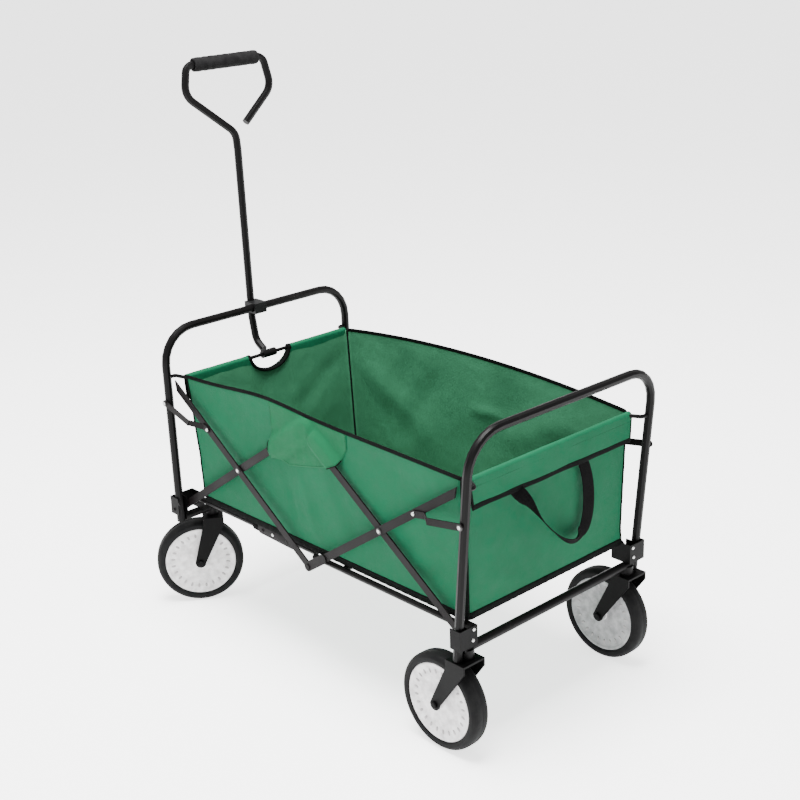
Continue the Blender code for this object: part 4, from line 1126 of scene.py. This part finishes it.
# The plates take the bars' lightened coat, with its painted reflection
add_mesh("rail_plates", *merge(plate_parts), BAR_BLACK_PAINTED_REFLECTION, "front_floor", "frame")
add_mesh("rail_plate_rivets", *merge(plate_rivets), STEEL, "front_floor", "fasteners")
add_mesh("rail_loops", *merge(loops), STRAP_BLACK, "front_floor", "webbing")

REAR_BOLTS = ((0.2165, 0.253), (0.219, 0.233))  # (y, z) on the brackets' rear faces
FRONT_BOLTS = ((0.37, 0.25), (0.3906, 0.232))  # (x, z) on the brackets' outer faces
rear_face_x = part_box("rear_left_bracket")[0][0] + 0.0004
front_face_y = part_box("front_left_bracket")[1][1]
rear_bolts, front_bolts = [], []
for side in (-1, 1):
    rear_bolts += [rivet((rear_face_x, side * y, z), (-1, 0, 0), 0.0034, 0.0024) for y, z in REAR_BOLTS]
    front_bolts += [rivet((x, side * front_face_y, z), (0, side, 0), 0.0036, 0.0022) for x, z in FRONT_BOLTS]
add_mesh("rear_bracket_bolts", *merge(rear_bolts), STEEL, "rear_frame", "fasteners")
add_mesh("front_bracket_bolts", *merge(front_bolts), FORK_BLACK, "front_frame", "fasteners")

for piece in soft_pieces:
    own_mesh(piece)

# ---- Floor, light and camera ----
FLOOR_REACH = 60.0
floor_look = Look("studio_floor")
floor_look.shader.inputs["Emission Color"].default_value = (1, 1, 1, 1)
floor_look.shader.inputs["Emission Strength"].default_value = 2.1
floor_colour = floor_look.mix(floor_look.noise(1.5, 2.0, 0.5), (0.86, 0.86, 0.86), (0.9, 0.9, 0.9))
floor_mesh = bpy.data.meshes.new("studio_floor")
corners = [(x * FLOOR_REACH, y * FLOOR_REACH, 0) for x, y in ((-1, -1), (1, -1), (1, 1), (-1, 1))]
floor_mesh.from_pydata(corners, [], [(0, 1, 2, 3)])
floor_mesh.materials.append(floor_look.finish(floor_colour, 0.9, None))
studio_floor = bpy.data.objects.new("studio_floor", floor_mesh)
studio_floor.location.z = -0.0005
bpy.context.collection.objects.link(studio_floor)

world = bpy.data.worlds.new("studio")
world.use_nodes = True
world.node_tree.nodes["Background"].inputs["Color"].default_value = (1.0, 1.0, 1.0, 1)
world.node_tree.nodes["Background"].inputs["Strength"].default_value = 1.0
bpy.context.scene.world = world


def area_light(name, place, aim, size, power):
    light = bpy.data.lights.new(name, "AREA")
    light.shape = "DISK"
    light.size = size
    light.energy = power
    obj = bpy.data.objects.new(name, light)
    obj.location = place
    obj.rotation_euler = (Vector(aim) - Vector(place)).to_track_quat("-Z", "Y").to_euler()
    bpy.context.collection.objects.link(obj)


area_light("key", (0.6, 3.2, 2.6), (0, 0, 0.35), 2.6, 34)
area_light("fill", (-3.2, 0.6, 1.8), (0, 0, 0.4), 2.4, 6)
area_light("top", (-0.1, 0.5, 3.6), (0, 0, 0.3), 2.2, 480)

CAMERA_PLACE = Vector((-1.9808, 1.7907, 1.4701))
CAMERA_HEADING, CAMERA_DIP, CAMERA_ROLL = (math.radians(a) for a in (227.28, 19.95, -1.82))
CAMERA_LENS = 65.615
camera_data = bpy.data.cameras.new("camera")
camera_data.lens = CAMERA_LENS
camera_data.sensor_width = 36
camera = bpy.data.objects.new("camera", camera_data)
level_back = Vector((math.sin(CAMERA_HEADING), -math.cos(CAMERA_HEADING), 0))
back = level_back * math.cos(CAMERA_DIP) + Vector((0, 0, math.sin(CAMERA_DIP)))
right = Vector((0, 0, 1)).cross(back).normalized()
up = back.cross(right)
turned_right = right * math.cos(CAMERA_ROLL) + up * math.sin(CAMERA_ROLL)
turned_up = up * math.cos(CAMERA_ROLL) - right * math.sin(CAMERA_ROLL)
columns = (turned_right, turned_up, back)
camera.matrix_world = Matrix.Translation(CAMERA_PLACE) @ Matrix(columns).transposed().to_4x4()
bpy.context.collection.objects.link(camera)
bpy.context.scene.camera = camera

bpy.context.view_layer.update()
